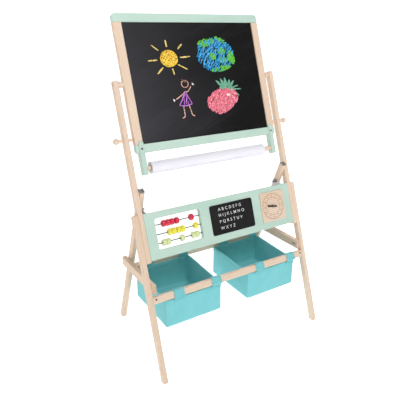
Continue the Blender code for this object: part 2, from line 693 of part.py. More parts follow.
# ---------------------------------------------------------------- board pins and pegs
for tag, side in SIDES:
    tip = BOARD_W - PIVOT_IN
    profile = [
        (tip, 0.0),
        (tip, PIVOT_R - 0.0008),
        (tip + 0.0008, PIVOT_R),
        (BOARD_W + GAP, PIVOT_R),
        (BOARD_W + GAP, COLLAR_R),
        (UP_X0 - GAP, COLLAR_R),
        (UP_X0 - GAP, PIVOT_R),
        (UP_X1 - 0.0006, PIVOT_R),
        (UP_X1 - 0.0002, PIVOT_R - 0.0006),
        (UP_X1 - 0.0002, 0.0),
    ]
    pin = new_object(f"pivot_pin_{tag}", turned_mesh([(side * x, r) for x, r in profile], 24))
    moved(pin.data, Matrix.Translation(PIVOT))
    finish(pin, PINE, 0.50, smooth=True)

    peg_axis = BOARD @ Vector((0, 0, -PEG_DOWN))
    tip = BOARD_W + PEG_TIP_CLEAR
    ball = PEG_BALL_X
    neck = ball - math.sqrt(PEG_BALL_R**2 - PEG_R**2)
    profile = [(tip, 0.0), (tip, PEG_R - 0.0010), (tip + 0.0010, PEG_R), (neck, PEG_R)]
    start = math.acos((neck - ball) / PEG_BALL_R)
    for i in range(1, 9):
        angle = start * (1 - i / 8)
        profile.append((ball + PEG_BALL_R * math.cos(angle), PEG_BALL_R * math.sin(angle) if i < 8 else 0.0))
    peg = new_object(f"lock_peg_{tag}", turned_mesh([(side * x, r) for x, r in profile], 24))
    moved(peg.data, Matrix.Translation(peg_axis))
    finish(peg, PINE, 0.50, origin=Vector((side * ball, peg_axis.y, peg_axis.z)), smooth=True)

# ---------------------------------------------------------------- fabric bins
front_centre = at_slope(0, rail_s, RAIL_T / 2)
back_centre = REAR @ Vector((0, 0, back_s))


def loop_mesh(x0, x1, frame, y0, y1, z0, z1, grow):
    """A block round a rail's section, larger by grow on each side, in the rail's frame."""
    return moved(box_mesh(x0, x1, y0 - grow, y1 + grow, z0 - grow, z1 + grow), frame)


def fabric_bin(name, x0, x1, loops):
    y0, y1 = BIN_Y
    z0, z1 = BIN_Z
    outer = box_mesh(x0, x1, y0, y1, z0, z1)
    body = new_object(name, outer)
    ease(body, BIN_CORNER_R, 3)
    # The top edge is trimmed square again and the inside emptied.
    cut(body, box_mesh(x0 - 0.01, x1 + 0.01, y0 - 0.01, y1 + 0.01, z1 - BIN_CORNER_R - 0.0005, z1 + 0.02))
    top = z1 - BIN_CORNER_R - 0.0005
    cavity = new_object("cavity", box_mesh(x0 + BIN_WALL, x1 - BIN_WALL, y0 + BIN_WALL, y1 - BIN_WALL, z0 + BIN_WALL, z1 + 0.05), CUTTERS)
    ease(cavity, BIN_CORNER_R - BIN_WALL * 0.5, 2)
    cut(body, cavity.data)
    bpy.data.objects.remove(cavity, do_unlink=True)
    clear = LOOP_CLEAR
    full = LOOP_CLEAR + LOOP_T
    for (a, b), back in loops:
        if back:
            frame, ya, yb, za, zb = REAR, -RAIL_T / 2, RAIL_T / 2, back_s - RAIL_H / 2, back_s + RAIL_H / 2
            wall = box_mesh(a, b, y1 - BIN_WALL + 0.0002, y1 - 0.0002, top - 0.004, RAIL_Z)
        else:
            frame, ya, yb, za, zb = SLOPE, 0.0, RAIL_T, rail_s - RAIL_H / 2, rail_s + RAIL_H / 2
            wall = box_mesh(a, b, y0 + 0.0002, y0 + BIN_WALL - 0.0002, top - 0.004, RAIL_Z)
        band = new_object("band", loop_mesh(a, b, frame, ya, yb, za, zb, full), CUTTERS)
        ease(band, 0.0022, 1)
        join(band, wall)
        cut(band, loop_mesh(a - 0.01, b + 0.01, frame, ya, yb, za, zb, clear))
        join(body, band.data)
        bpy.data.objects.remove(band, do_unlink=True)
    return finish(body, TURQUOISE, 0.85)


def loops_of(x0, x1):
    """Front and back loops near both ends of a bin."""
    made = []
    for back in (False, True):
        made.append(((x0 + 0.0265, x0 + 0.0265 + LOOP_W), back))
        made.append(((x1 - 0.0040 - LOOP_W, x1 - 0.0040), back))
    return made


fabric_bin("bin_left", *BIN_LEFT_X, loops_of(*BIN_LEFT_X))
fabric_bin("bin_right", *BIN_RIGHT_X, loops_of(*BIN_RIGHT_X))

for mesh in list(bpy.data.meshes):
    if mesh.users == 0:
        bpy.data.meshes.remove(mesh)
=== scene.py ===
import math
import random

import bmesh
import bpy
from mathutils import Matrix, Vector, noise


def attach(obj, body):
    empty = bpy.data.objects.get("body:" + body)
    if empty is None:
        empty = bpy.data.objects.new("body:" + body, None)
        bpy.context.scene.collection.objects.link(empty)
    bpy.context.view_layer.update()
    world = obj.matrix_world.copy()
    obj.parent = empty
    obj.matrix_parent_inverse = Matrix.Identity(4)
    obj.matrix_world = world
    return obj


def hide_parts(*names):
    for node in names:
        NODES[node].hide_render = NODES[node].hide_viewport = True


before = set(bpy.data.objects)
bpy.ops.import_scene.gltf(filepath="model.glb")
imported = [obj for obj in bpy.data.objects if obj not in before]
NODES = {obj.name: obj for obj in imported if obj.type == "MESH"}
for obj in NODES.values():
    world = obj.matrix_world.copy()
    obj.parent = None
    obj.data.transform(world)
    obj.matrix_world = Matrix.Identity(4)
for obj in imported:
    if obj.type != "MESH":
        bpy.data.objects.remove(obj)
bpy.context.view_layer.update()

scene = bpy.context.scene
scene.view_settings.view_transform = "Standard"

# ------------------------------------------------------------------ frames of reference
LEAN = math.atan(0.350)
FRONT_Y = -0.19843
REAR_FOOT_Y = 0.18807
MID_D = 0.0100
SLOPE = Matrix.Translation((0, FRONT_Y, 0)) @ Matrix.Rotation(-LEAN, 4, "X")


def s_of(z, d=0.0):
    """Distance up the slope of the point at height z and depth d."""
    return (z + d * math.sin(LEAN)) / math.cos(LEAN)


PIVOT = SLOPE @ Vector((0, MID_D, s_of(0.8140, MID_D)))
CROSS = SLOPE @ Vector((0, MID_D, s_of(0.5140, MID_D)))
REAR_LEAN = math.atan((REAR_FOOT_Y - CROSS.y) / CROSS.z)
REAR = Matrix.Translation((0, REAR_FOOT_Y, 0)) @ Matrix.Rotation(REAR_LEAN, 4, "X")
BOARD = Matrix.Translation(PIVOT) @ Matrix.Rotation(-LEAN, 4, "X")
UP_SLOPE = (SLOPE.to_3x3() @ Vector((0, 0, 1))).normalized()
UP_REAR = (REAR.to_3x3() @ Vector((0, 0, 1))).normalized()
ACROSS = Vector((1, 0, 0))
DEEP = Vector((0, 1, 0))

RAIL_H, RAIL_T, RAIL_Z = 0.0210, 0.0150, 0.2330
RAIL_S = s_of(RAIL_Z)
BACK_S = RAIL_Z / math.cos(REAR_LEAN)

# ------------------------------------------------------------------ camera
YAW, PITCH, ROLL = math.radians(31.85), math.radians(-20.32), math.radians(0.11)
look = Vector((math.sin(YAW) * math.cos(PITCH), math.cos(YAW) * math.cos(PITCH), math.sin(PITCH)))
across = Vector((math.cos(YAW), -math.sin(YAW), 0))
upward = across.cross(look)
turn = Matrix((across, upward, -look)).transposed().to_4x4()
camera = bpy.data.objects.new("camera", bpy.data.cameras.new("camera"))
scene.collection.objects.link(camera)
camera.matrix_world = Matrix.Translation((-0.77067, -1.14522, 0.97037)) @ turn @ Matrix.Rotation(ROLL, 4, "Z")
camera.data.sensor_width = 36.0
camera.data.lens = 41.54
camera.data.shift_x = 0.00065
camera.data.shift_y = -0.0088
camera.data.clip_start = 0.01
scene.camera = camera


# ------------------------------------------------------------------ material helpers
def linear(r, g, b, gain=1.0):
    """An sRGB colour, 0 to 255, as linear values."""
    made = []
    for value in (r, g, b):
        c = value / 255
        made.append(min(1.0, gain * (c / 12.92 if c <= 0.04045 else ((c + 0.055) / 1.055) ** 2.4)))
    return (*made, 1.0)


class Graph:
    """A material's node tree, with one Principled shader at its end."""

    def __init__(self, name):
        self.material = bpy.data.materials.new(name)
        self.material.use_nodes = True
        self.tree = self.material.node_tree
        self.tree.nodes.clear()
        out = self.add("ShaderNodeOutputMaterial")
        self.shader = self.add("ShaderNodeBsdfPrincipled")
        self.tree.links.new(self.shader.outputs[0], out.inputs[0])
        self.space = self.add("ShaderNodeTexCoord")

    def add(self, kind, **settings):
        node = self.tree.nodes.new(kind)
        for key, value in settings.items():
            setattr(node, key, value)
        return node

    def put(self, value, socket):
        if isinstance(value, bpy.types.NodeSocket):
            self.tree.links.new(value, socket)
        else:
            socket.default_value = value

    def set(self, **values):
        for key, value in values.items():
            self.put(value, self.shader.inputs[key.replace("_", " ")])

    @property
    def point(self):
        return self.space.outputs["Object"]

    def math(self, operation, a, b=0.0, clamp=False):
        node = self.add("ShaderNodeMath", operation=operation, use_clamp=clamp)
        self.put(a, node.inputs[0])
        self.put(b, node.inputs[1])
        return node.outputs[0]

    def vector(self, operation, a, b):
        node = self.add("ShaderNodeVectorMath", operation=operation)
        self.put(a, node.inputs[0])
        self.put(b, node.inputs[1])
        return node.outputs["Value" if operation == "DOT_PRODUCT" else "Vector"]

    def scaled(self, a, factor):
        node = self.add("ShaderNodeVectorMath", operation="SCALE")
        self.put(a, node.inputs[0])
        node.inputs["Scale"].default_value = factor
        return node.outputs["Vector"]

    def join(self, x, y, z):
        node = self.add("ShaderNodeCombineXYZ")
        for value, socket in zip((x, y, z), node.inputs):
            self.put(value, socket)
        return node.outputs[0]

    def noise(self, at, scale, detail=2.0, rough=0.5, twist=0.0, colour=False):
        node = self.add("ShaderNodeTexNoise")
        self.put(at, node.inputs["Vector"])
        node.inputs["Scale"].default_value = scale
        node.inputs["Detail"].default_value = detail
        node.inputs["Roughness"].default_value = rough
        node.inputs["Distortion"].default_value = twist
        return node.outputs["Color" if colour else "Fac"]

    def ramp(self, value, stops):
        node = self.add("ShaderNodeValToRGB")
        self.put(value, node.inputs[0])
        ramp = node.color_ramp
        while len(ramp.elements) < len(stops):
            ramp.elements.new(1.0)
        for element, (place, colour) in zip(ramp.elements, stops):
            element.position = place
            element.color = colour if hasattr(colour, "__len__") else (colour, colour, colour, 1.0)
        return node.outputs[0]

    def range(self, value, low, high, to_low=0.0, to_high=1.0):
        node = self.add("ShaderNodeMapRange", clamp=True)
        self.put(value, node.inputs["Value"])
        node.inputs["From Min"].default_value = low
        node.inputs["From Max"].default_value = high
        node.inputs["To Min"].default_value = to_low
        node.inputs["To Max"].default_value = to_high
        return node.outputs[0]

    def mix(self, factor, a, b, blend="MIX"):
        node = self.add("ShaderNodeMix", data_type="RGBA", blend_type=blend)
        self.put(factor, node.inputs[0])
        self.put(a, node.inputs[6])
        self.put(b, node.inputs[7])
        return node.outputs[2]

    def bump(self, height, distance, strength=1.0, normal=None):
        node = self.add("ShaderNodeBump")
        self.put(height, node.inputs["Height"])
        node.inputs["Distance"].default_value = distance
        node.inputs["Strength"].default_value = strength
        if normal is not None:
            self.put(normal, node.inputs["Normal"])
        return node.outputs[0]

    def along(self, axis):
        """Object coordinates as (across, across, along) the axis, each as a value."""
        a = Vector(axis).normalized()
        ref = Vector((1, 0, 0)) if abs(a.x) < 0.9 else Vector((0, 1, 0))
        e1 = (ref - a * ref.dot(a)).normalized()
        e2 = a.cross(e1)
        return [self.vector("DOT_PRODUCT", self.point, tuple(e)) for e in (e1, e2, a)]

    def edges(self, radius=0.0016):
        """About 1 on sharp convex edges, 0 on flat faces."""
        bevel = self.add("ShaderNodeBevel", samples=6)
        bevel.inputs["Radius"].default_value = radius
        flat = self.add("ShaderNodeNewGeometry").outputs["Normal"]
        same = self.vector("DOT_PRODUCT", bevel.outputs[0], flat)
        return self.range(same, 0.998, 0.90)


# ------------------------------------------------------------------ materials
PINE_LIGHT = linear(244, 224, 205, 0.92)
PINE_MID = linear(237, 210, 184, 0.92)
PINE_DARK = linear(206, 164, 130, 0.92)


def pine(name, axis, seed, gain=1.0, ring=0.0030):
    """Planed pine: growth rings about a pith outside the batten, fibres along it, darker end grain."""
    r = random.Random(seed)
    g = Graph(name)
    u, w, t = g.along(axis)
    angle = r.uniform(0, 2 * math.pi)
    away = r.uniform(0.030, 0.060)
    slow = g.noise(g.join(g.math("MULTIPLY", u, 9.0), g.math("MULTIPLY", w, 9.0), g.math("MULTIPLY", t, 1.7)), 1.0, 2.0)
    bend = g.math("MULTIPLY", g.math("SUBTRACT", slow, 0.5), 0.016)
    lean_u, lean_w = r.uniform(-0.03, 0.03), r.uniform(-0.03, 0.03)
    ru = g.math("ADD", g.math("ADD", u, away * math.cos(angle) + r.uniform(-1, 1) * 0.002), g.math("ADD", bend, g.math("MULTIPLY", t, lean_u)))
    rw = g.math("ADD", g.math("ADD", w, away * math.sin(angle)), g.math("MULTIPLY", t, lean_w))
    rings = g.add("ShaderNodeTexWave", wave_type="RINGS", rings_direction="Z", wave_profile="SAW")
    g.put(g.join(ru, rw, 0.0), rings.inputs["Vector"])
    rings.inputs["Scale"].default_value = 2 * math.pi / (20 * ring)
    rings.inputs["Distortion"].default_value = 0.9
    rings.inputs["Detail"].default_value = 2.0
    rings.inputs["Detail Scale"].default_value = 1.6
    late = g.ramp(rings.outputs["Fac"], [(0.0, 0.0), (0.45, 0.10), (0.82, 0.85), (0.97, 1.0), (1.0, 0.1)])
    fibre = g.noise(g.join(g.math("MULTIPLY", u, 900.0), g.math("MULTIPLY", w, 900.0), g.math("MULTIPLY", t, 16.0)), 1.0, 3.0, 0.6)
    streak = g.noise(g.join(g.math("MULTIPLY", u, 130.0), g.math("MULTIPLY", w, 130.0), g.math("MULTIPLY", t, 3.0)), 1.0, 2.0)
    tone = g.noise(g.join(g.math("ADD", g.math("MULTIPLY", u, 14.0), seed * 3.7), g.math("MULTIPLY", w, 14.0), g.math("MULTIPLY", t, 2.2)), 1.0, 2.0)
    light = [min(1, c * gain) for c in PINE_LIGHT[:3]] + [1]
    mid = [min(1, c * gain) for c in PINE_MID[:3]] + [1]
    dark = [min(1, c * gain) for c in PINE_DARK[:3]] + [1]
    base = g.mix(g.range(tone, 0.35, 0.65, 0.05, 0.75), light, mid)
    base = g.mix(g.math("MULTIPLY", late, 0.58), base, dark)
    base = g.mix(g.range(fibre, 0.55, 0.78, 0.0, 0.30), base, dark)
    base = g.mix(g.range(streak, 0.56, 0.74, 0.0, 0.28), base, mid)
    end = g.math("ABSOLUTE", g.vector("DOT_PRODUCT", g.space.outputs["Normal"], tuple(Vector(axis).normalized())))
    base = g.mix(g.range(end, 0.75, 0.95, 0.0, 0.55), base, g.mix(late, linear(206, 166, 128, 0.85 * gain), linear(160, 112, 74, 0.85 * gain)))
    # Painted highlight: every convex edge is lightened towards the light pine tone, standing in for light catching it.
    base = g.mix(g.math("MULTIPLY", g.edges(), 0.22), base, light)
    g.set(Base_Color=base, Roughness=g.range(fibre, 0.2, 0.8, 0.46, 0.66))
    g.shader.inputs["Specular IOR Level"].default_value = 0.35
    height = g.math("ADD", g.math("MULTIPLY", fibre, 0.6), g.math("MULTIPLY", late, -0.4))
    g.set(Normal=g.bump(height, 0.00022, 0.55))
    return g.material


def mint(name, axis, seed):
    """Satin mint paint over planed wood: grain just shows, edges are rubbed paler."""
    g = Graph(name)
    u, w, t = g.along(axis)
    grain = g.noise(g.join(g.math("MULTIPLY", u, 420.0), g.math("MULTIPLY", w, 420.0), g.math("MULTIPLY", t, 9.0)), 1.0, 3.0, 0.6)
    cloud = g.noise(g.join(g.math("ADD", g.math("MULTIPLY", u, 16.0), seed * 2.3), g.math("MULTIPLY", w, 16.0), g.math("MULTIPLY", t, 7.0)), 1.0, 3.0)
    peel = g.noise(g.point, 1400.0, 1.0)
    base = g.mix(g.range(cloud, 0.35, 0.65), linear(189, 217, 203, 0.93), linear(197, 222, 209, 0.93))
    base = g.mix(g.range(grain, 0.58, 0.80, 0.0, 0.30), base, linear(176, 206, 190, 0.93))
    worn = g.math("MULTIPLY", g.edges(0.0014), g.range(g.noise(g.point, 260.0, 3.0, 0.7), 0.42, 0.62, 0.10, 0.70))
    base = g.mix(worn, base, linear(219, 228, 213, 0.93))
    g.set(Base_Color=base, Roughness=g.range(cloud, 0.3, 0.7, 0.38, 0.50))
    g.shader.inputs["Specular IOR Level"].default_value = 0.40
    g.set(Normal=g.bump(g.math("ADD", g.math("MULTIPLY", grain, 0.7), g.math("MULTIPLY", peel, 0.25)), 0.00012, 0.6))
    return g.material


def chalk_surface(name):
    """Matt black writing paint with wiped chalk haze, a painted sheen lightening its lower left, and a few faint
    scratches.
    """
    g = Graph(name)
    x, s = g.vector("DOT_PRODUCT", g.point, (1, 0, 0)), g.vector("DOT_PRODUCT", g.point, tuple(UP_SLOPE))
    swipe_u = g.math("ADD", g.math("MULTIPLY", x, 0.94), g.math("MULTIPLY", s, 0.34))
    swipe_v = g.math("SUBTRACT", g.math("MULTIPLY", s, 0.94), g.math("MULTIPLY", x, 0.34))
    wipes = g.noise(g.join(g.math("MULTIPLY", swipe_u, 3.0), g.math("MULTIPLY", swipe_v, 22.0), 0.0), 1.0, 5.0, 0.62, 0.6)
    cloud = g.noise(g.point, 5.0, 4.0, 0.6)
    specks = g.noise(g.point, 1100.0, 2.0, 0.7)
    haze = g.math("MULTIPLY", g.range(wipes, 0.42, 0.72), g.range(cloud, 0.38, 0.68, 0.25, 1.0))
    # Painted sheen: the left and lower part of the writing face is lightened, standing in for the light's reflection
    # there.
    side = g.range(x, 0.16, -0.25, 0.0, 1.0)
    side = g.math("MULTIPLY", side, side)
    low = g.range(s, 0.92, 0.68, 0.62, 1.0)
    # This mix holds the real wiped chalk haze plus the painted sheen on the lower left.
    dust_and_sheen = g.math("ADD", g.math("MULTIPLY", haze, 0.10), g.math("MULTIPLY", g.math("MULTIPLY", side, low), 0.34))
    dust_and_sheen = g.math("MULTIPLY", dust_and_sheen, g.range(specks, 0.30, 0.62, 0.72, 1.08))
    base = g.mix(dust_and_sheen, (0.0052, 0.0052, 0.0056, 1), (0.145, 0.142, 0.165, 1))
    scratch = g.add("ShaderNodeTexVoronoi", feature="DISTANCE_TO_EDGE")
    g.put(g.join(g.math("MULTIPLY", swipe_u, 7.0), g.math("MULTIPLY", swipe_v, 60.0), 0.0), scratch.inputs["Vector"])
    scratch.inputs["Scale"].default_value = 1.0
    mark = g.range(scratch.outputs["Distance"], 0.012, 0.0, 0.0, 0.05)
    base = g.mix(mark, base, (0.12, 0.12, 0.13, 1))
    g.set(Base_Color=base, Roughness=g.range(dust_and_sheen, 0.0, 0.4, 0.52, 0.78))
    g.shader.inputs["Specular IOR Level"].default_value = 0.12
    g.set(Normal=g.bump(specks, 0.00005, 0.5))
    return g.material


def white_surface(name):
    """Gloss white dry-wipe lacquer with ghosts of wiped marks."""
    g = Graph(name)
    ghost = g.noise(g.join(g.vector("DOT_PRODUCT", g.point, (5, 0, 0)), g.vector("DOT_PRODUCT", g.point, tuple(UP_SLOPE * 26)), 0.0), 1.0, 5.0, 0.65, 1.2)
    cloud = g.noise(g.point, 4.0, 3.0)
    mark = g.math("MULTIPLY", g.range(ghost, 0.56, 0.75), g.range(cloud, 0.45, 0.7, 0.0, 0.55))
    base = g.mix(mark, linear(240, 241, 242), linear(205, 211, 222))
    g.set(Base_Color=base, Roughness=g.range(mark, 0.0, 0.5, 0.14, 0.30))
    g.shader.inputs["Specular IOR Level"].default_value = 0.5
    g.set(Normal=g.bump(g.noise(g.point, 60.0, 2.0), 0.00010, 0.15))
    return g.material


def cloth(name, rgb, shade, gain=1.0):
    """Plain woven canvas: warp and weft at 0.9 mm, slubs, soft sheen."""
    g = Graph(name)
    rows = []
    for axis in ((1, 0, 0), (0, 1, 0), (0, 0, 1)):
        wave = g.math("SINE", g.math("MULTIPLY", g.vector("DOT_PRODUCT", g.point, axis), 2 * math.pi / 0.0009))
        rows.append(wave)
    weave = g.math("MULTIPLY", g.math("ADD", rows[0], rows[1]), g.math("ADD", rows[2], g.math("MULTIPLY", rows[1], 0.5)))
    fine = g.noise(g.point, 2600.0, 2.0, 0.7)
    slub = g.noise(g.vector("MULTIPLY", g.point, (420, 420, 60)), 1.0, 2.0, 0.6)
    slub2 = g.noise(g.vector("MULTIPLY", g.point, (60, 60, 520)), 1.0, 2.0, 0.6)
    cloud = g.noise(g.point, 26.0, 3.0, 0.6)
    light = linear(*rgb, gain)
    dark = linear(*shade, gain)
    base = g.mix(g.range(cloud, 0.32, 0.70, 0.0, 0.55), light, dark)
    base = g.mix(g.range(weave, -0.6, 1.4, 0.0, 0.28), base, dark)
    base = g.mix(g.range(slub, 0.60, 0.80, 0.0, 0.35), base, dark)
    base = g.mix(g.range(slub2, 0.62, 0.80, 0.0, 0.30), base, light)
    g.set(Base_Color=base, Roughness=g.range(fine, 0.3, 0.7, 0.78, 0.92))
    g.shader.inputs["Sheen Weight"].default_value = 0.12
    g.shader.inputs["Sheen Roughness"].default_value = 0.5
    g.shader.inputs["Specular IOR Level"].default_value = 0.2
    height = g.math("ADD", g.math("MULTIPLY", weave, 0.5), g.math("ADD", g.math("MULTIPLY", fine, 0.5), g.math("MULTIPLY", slub, 0.6)))
    g.set(Normal=g.bump(height, 0.00016, 0.5, g.bump(cloud, 0.0011, 0.45)))
    return g.material


def lacquer(name, rgb, shade, gain=1.0):
    """Gloss paint on a small turned piece: faint turning lines, scattered scuffs."""
    g = Graph(name)
    lines = g.noise(g.vector("MULTIPLY", g.point, (2200, 120, 120)), 1.0, 2.0)
    cloud = g.noise(g.point, 160.0, 2.0)
    scuff = g.range(g.noise(g.point, 620.0, 4.0, 0.7), 0.62, 0.74, 0.0, 0.35)
    base = g.mix(g.range(cloud, 0.3, 0.7), linear(*rgb, gain), linear(*shade, gain))
    base = g.mix(g.range(lines, 0.58, 0.78, 0.0, 0.30), base, linear(*shade, gain))
    base = g.mix(scuff, base, linear(min(255, rgb[0] + 14), min(255, rgb[1] + 22), min(255, rgb[2] + 22), gain))
    g.set(Base_Color=base, Roughness=g.range(scuff, 0.0, 0.3, 0.24, 0.48))
    g.shader.inputs["Coat Weight"].default_value = 0.25
    g.shader.inputs["Coat Roughness"].default_value = 0.12
    g.set(Normal=g.bump(lines, 0.00006, 0.5))
    return g.material


def steel(name, rgb, rough, dark=False):
    """Zinc-plated or blackened steel: spangled tone, fine brushing, dull spots."""
    g = Graph(name)
    spangle = g.add("ShaderNodeTexVoronoi")
    g.put(g.point, spangle.inputs["Vector"])
    spangle.inputs["Scale"].default_value = 340.0
    brush = g.noise(g.vector("MULTIPLY", g.point, (300, 2400, 300)), 1.0, 3.0)
    spot = g.noise(g.point, 190.0, 4.0, 0.65)
    tone = g.range(spangle.outputs["Color"], 0.0, 1.0, 0.0, 0.25)
    base = g.mix(tone, linear(*rgb), linear(*(int(v * 0.78) for v in rgb)))
    base = g.mix(g.range(spot, 0.56, 0.72, 0.0, 0.45), base, linear(*(int(v * 0.6) for v in rgb)))
    # Painted highlight: every convex edge is lightened towards bright grey, standing in for light catching it.
    base = g.mix(g.math("MULTIPLY", g.edges(0.0007), 0.35), base, linear(214, 216, 220))
    g.set(Base_Color=base, Roughness=g.range(brush, 0.25, 0.75, rough - 0.08, rough + 0.12))
    g.shader.inputs["Metallic"].default_value = 0.85 if dark else 1.0
    g.set(Normal=g.bump(g.math("ADD", brush, spot), 0.00006, 0.5))
    return g.material


def paper(name, axis_point):
    """Drawing paper on the roll: faint fibres, a soft lavender-white, fine layer lines on the ends."""
    g = Graph(name)
    fibre = g.noise(g.vector("MULTIPLY", g.point, (60, 900, 900)), 1.0, 3.0, 0.7)
    cloud = g.noise(g.vector("MULTIPLY", g.point, (9, 30, 30)), 1.0, 2.0)
    base = g.mix(g.range(cloud, 0.3, 0.7), linear(244, 243, 249, 0.94), linear(236, 233, 243, 0.94))
    base = g.mix(g.range(fibre, 0.60, 0.80, 0.0, 0.30), base, linear(222, 219, 230, 0.94))
    off = g.vector("SUBTRACT", g.point, tuple(axis_point))
    y, z = g.vector("DOT_PRODUCT", off, (0, 1, 0)), g.vector("DOT_PRODUCT", off, (0, 0, 1))
    radius = g.math("SQRT", g.math("ADD", g.math("MULTIPLY", y, y), g.math("MULTIPLY", z, z)))
    layers = g.math("SINE", g.math("MULTIPLY", radius, 2 * math.pi / 0.0006))
    end = g.math("ABSOLUTE", g.vector("DOT_PRODUCT", g.space.outputs["Normal"], (1, 0, 0)))
    on_end = g.range(end, 0.7, 0.95)
    base = g.mix(g.math("MULTIPLY", on_end, g.range(layers, -1.0, 1.0, 0.05, 0.45)), base, linear(190, 184, 184))
    g.set(Base_Color=base, Roughness=g.range(fibre, 0.3, 0.7, 0.78, 0.90))
    g.shader.inputs["Specular IOR Level"].default_value = 0.25
    g.set(Normal=g.bump(fibre, 0.00005, 0.4))
    return g.material


def card(name):
    g = Graph(name)
    fibre = g.noise(g.vector("MULTIPLY", g.point, (240, 900, 900)), 1.0, 4.0, 0.7)
    g.set(Base_Color=g.mix(fibre, linear(178, 150, 118), linear(140, 112, 84)), Roughness=g.range(fibre, 0.2, 0.8, 0.8, 0.95))
    g.set(Normal=g.bump(fibre, 0.00010, 0.6))
    return g.material


def chalk(name, rgb, cover=0.5):
    """A chalk stroke: grains of pigment with the black board showing between them."""
    g = Graph(name)
    grain = g.noise(g.point, 950.0, 3.0, 0.75)
    patch = g.noise(g.point, 240.0, 2.0, 0.6)
    mask = g.range(g.math("ADD", grain, g.math("MULTIPLY", g.math("SUBTRACT", patch, 0.5), 0.7)), 0.62 - 0.34 * cover, 0.70 - 0.30 * cover)
    pale = [min(255, v + 26) for v in rgb]
    base = g.mix(g.range(patch, 0.35, 0.7), linear(*rgb), linear(*pale))
    base = g.mix(g.range(mask, 0.0, 1.0, 0.08, 1.0), (0.010, 0.010, 0.011, 1), base)
    g.set(Base_Color=base, Roughness=g.range(grain, 0.3, 0.7, 0.85, 0.98))
    g.shader.inputs["Specular IOR Level"].default_value = 0.05
    g.set(Normal=g.bump(grain, 0.00012, 0.7))
    return g.material


def print_ink(name, rgb, fade=0.2):
    g = Graph(name)
    grain = g.noise(g.point, 1300.0, 3.0, 0.7)
    patch = g.noise(g.point, 90.0, 2.0)
    deep = [int(v * (1 - fade)) for v in rgb]
    g.set(Base_Color=g.mix(g.range(g.math("ADD", grain, patch), 0.8, 1.25), linear(*rgb), linear(*deep)), Roughness=g.range(grain, 0.3, 0.7, 0.45, 0.62))
    g.set(Normal=g.bump(grain, 0.00003, 0.4))
    return g.material


def felt_black(name):
    """The letter board: satin black board, finely textured."""
    g = Graph(name)
    tooth = g.noise(g.point, 1500.0, 3.0, 0.7)
    cloud = g.noise(g.point, 22.0, 3.0)
    base = g.mix(g.range(cloud, 0.35, 0.7, 0.0, 1.0), (0.0075, 0.0075, 0.0080, 1), (0.0125, 0.0125, 0.0135, 1))
    # Painted highlight: the board's convex edges are lightened to grey, standing in for light catching them.
    base = g.mix(g.math("MULTIPLY", g.edges(0.0008), 0.5), base, (0.06, 0.06, 0.065, 1))
    g.set(Base_Color=base, Roughness=g.range(tooth, 0.3, 0.7, 0.50, 0.66))
    g.shader.inputs["Specular IOR Level"].default_value = 0.18
    g.set(Normal=g.bump(tooth, 0.00006, 0.6))
    return g.material


def brown_wood(name, axis):
    g = Graph(name)
    u, w, t = g.along(axis)
    fibre = g.noise(g.join(g.math("MULTIPLY", u, 900.0), g.math("MULTIPLY", w, 900.0), g.math("MULTIPLY", t, 60.0)), 1.0, 3.0)
    base = g.mix(fibre, linear(70, 58, 50), linear(44, 36, 32))
    # Painted highlight: convex edges are lightened to a paler brown, standing in for light catching them.
    base = g.mix(g.math("MULTIPLY", g.edges(0.0006), 0.4), base, linear(118, 98, 82))
    g.set(Base_Color=base, Roughness=g.range(fibre, 0.2, 0.8, 0.40, 0.60))
    g.set(Normal=g.bump(fibre, 0.00006, 0.6))
    return g.material


def dress(node, made):
    """The CAD node takes this material in all its slots."""
    mesh = NODES[node].data
    mesh.materials.clear()
    mesh.materials.append(made)


seed = 11
for tag in "LR":
    for node, axis in (
        (f"front_leg_{tag}", UP_SLOPE), (f"upright_{tag}", UP_SLOPE), (f"rear_leg_{tag}", UP_REAR),
        (f"side_rail_{tag}", DEEP), (f"board_stile_{tag}", UP_SLOPE),
        (f"pivot_pin_{tag}", ACROSS), (f"lock_peg_{tag}", ACROSS),
    ):
        seed += 7
        dress(node, pine(f"pine_{node}", axis, seed, 1.0 + 0.03 * math.sin(seed * 1.7)))
    dress(f"roll_bracket_{tag}", mint(f"mint_bracket_{tag}", UP_SLOPE, seed))
    dress(f"leg_bolt_{tag}", steel(f"zinc_leg_bolt_{tag}", (196, 198, 202), 0.34))
    dress(f"cross_bolt_{tag}", steel(f"zinc_cross_bolt_{tag}", (196, 198, 202), 0.34))
    dress(f"stay_{tag}", steel(f"zinc_stay_{tag}", (176, 178, 184), 0.38))
    dress(f"wing_nut_{tag}", steel(f"dark_wing_nut_{tag}", (140, 128, 116), 0.46, True))
    dress(f"top_fitting_{tag}", steel(f"dark_fitting_{tag}", (158, 160, 162), 0.46, True))
for node, axis in (("front_rail", ACROSS), ("back_rail", ACROSS), ("roll_dowel", ACROSS)):
    seed += 7
    dress(node, pine(f"pine_{node}", axis, seed))
dress("clock_plate", pine("pine_clock_plate", ACROSS, 5, 0.97, 0.0055))
for node, axis in (("board_top_rail", ACROSS), ("board_bottom_rail", ACROSS), ("play_panel", ACROSS)):
    seed += 5
    dress(node, mint(f"mint_{node}", axis, seed))
dress("chalkboard", chalk_surface("black_writing_paint"))
dress("whiteboard", white_surface("white_lacquer_wiped"))
dress("letter_board", felt_black("black_letter_board"))
for number in (1, 2, 3):
    dress(f"abacus_wire_{number}", steel(f"dark_wire_{number}", (70, 72, 78), 0.36, True))
dress("clock_pin", steel("zinc_clock_pin", (150, 146, 140), 0.36))
dress("hour_hand", brown_wood("brown_hour_hand", ACROSS))
dress("minute_hand", brown_wood("brown_minute_hand", ACROSS))
BEADS = {"red": ((226, 40, 74), (196, 24, 58)), "yellow": ((240, 236, 84), (226, 214, 56)), "green": ((222, 232, 178), (200, 214, 148))}
for colour, (rgb, shade) in BEADS.items():
    made = lacquer(f"{colour}_bead_paint", rgb, shade)
    for number in range(1, 6):
        dress(f"bead_{colour}_{number}", made)


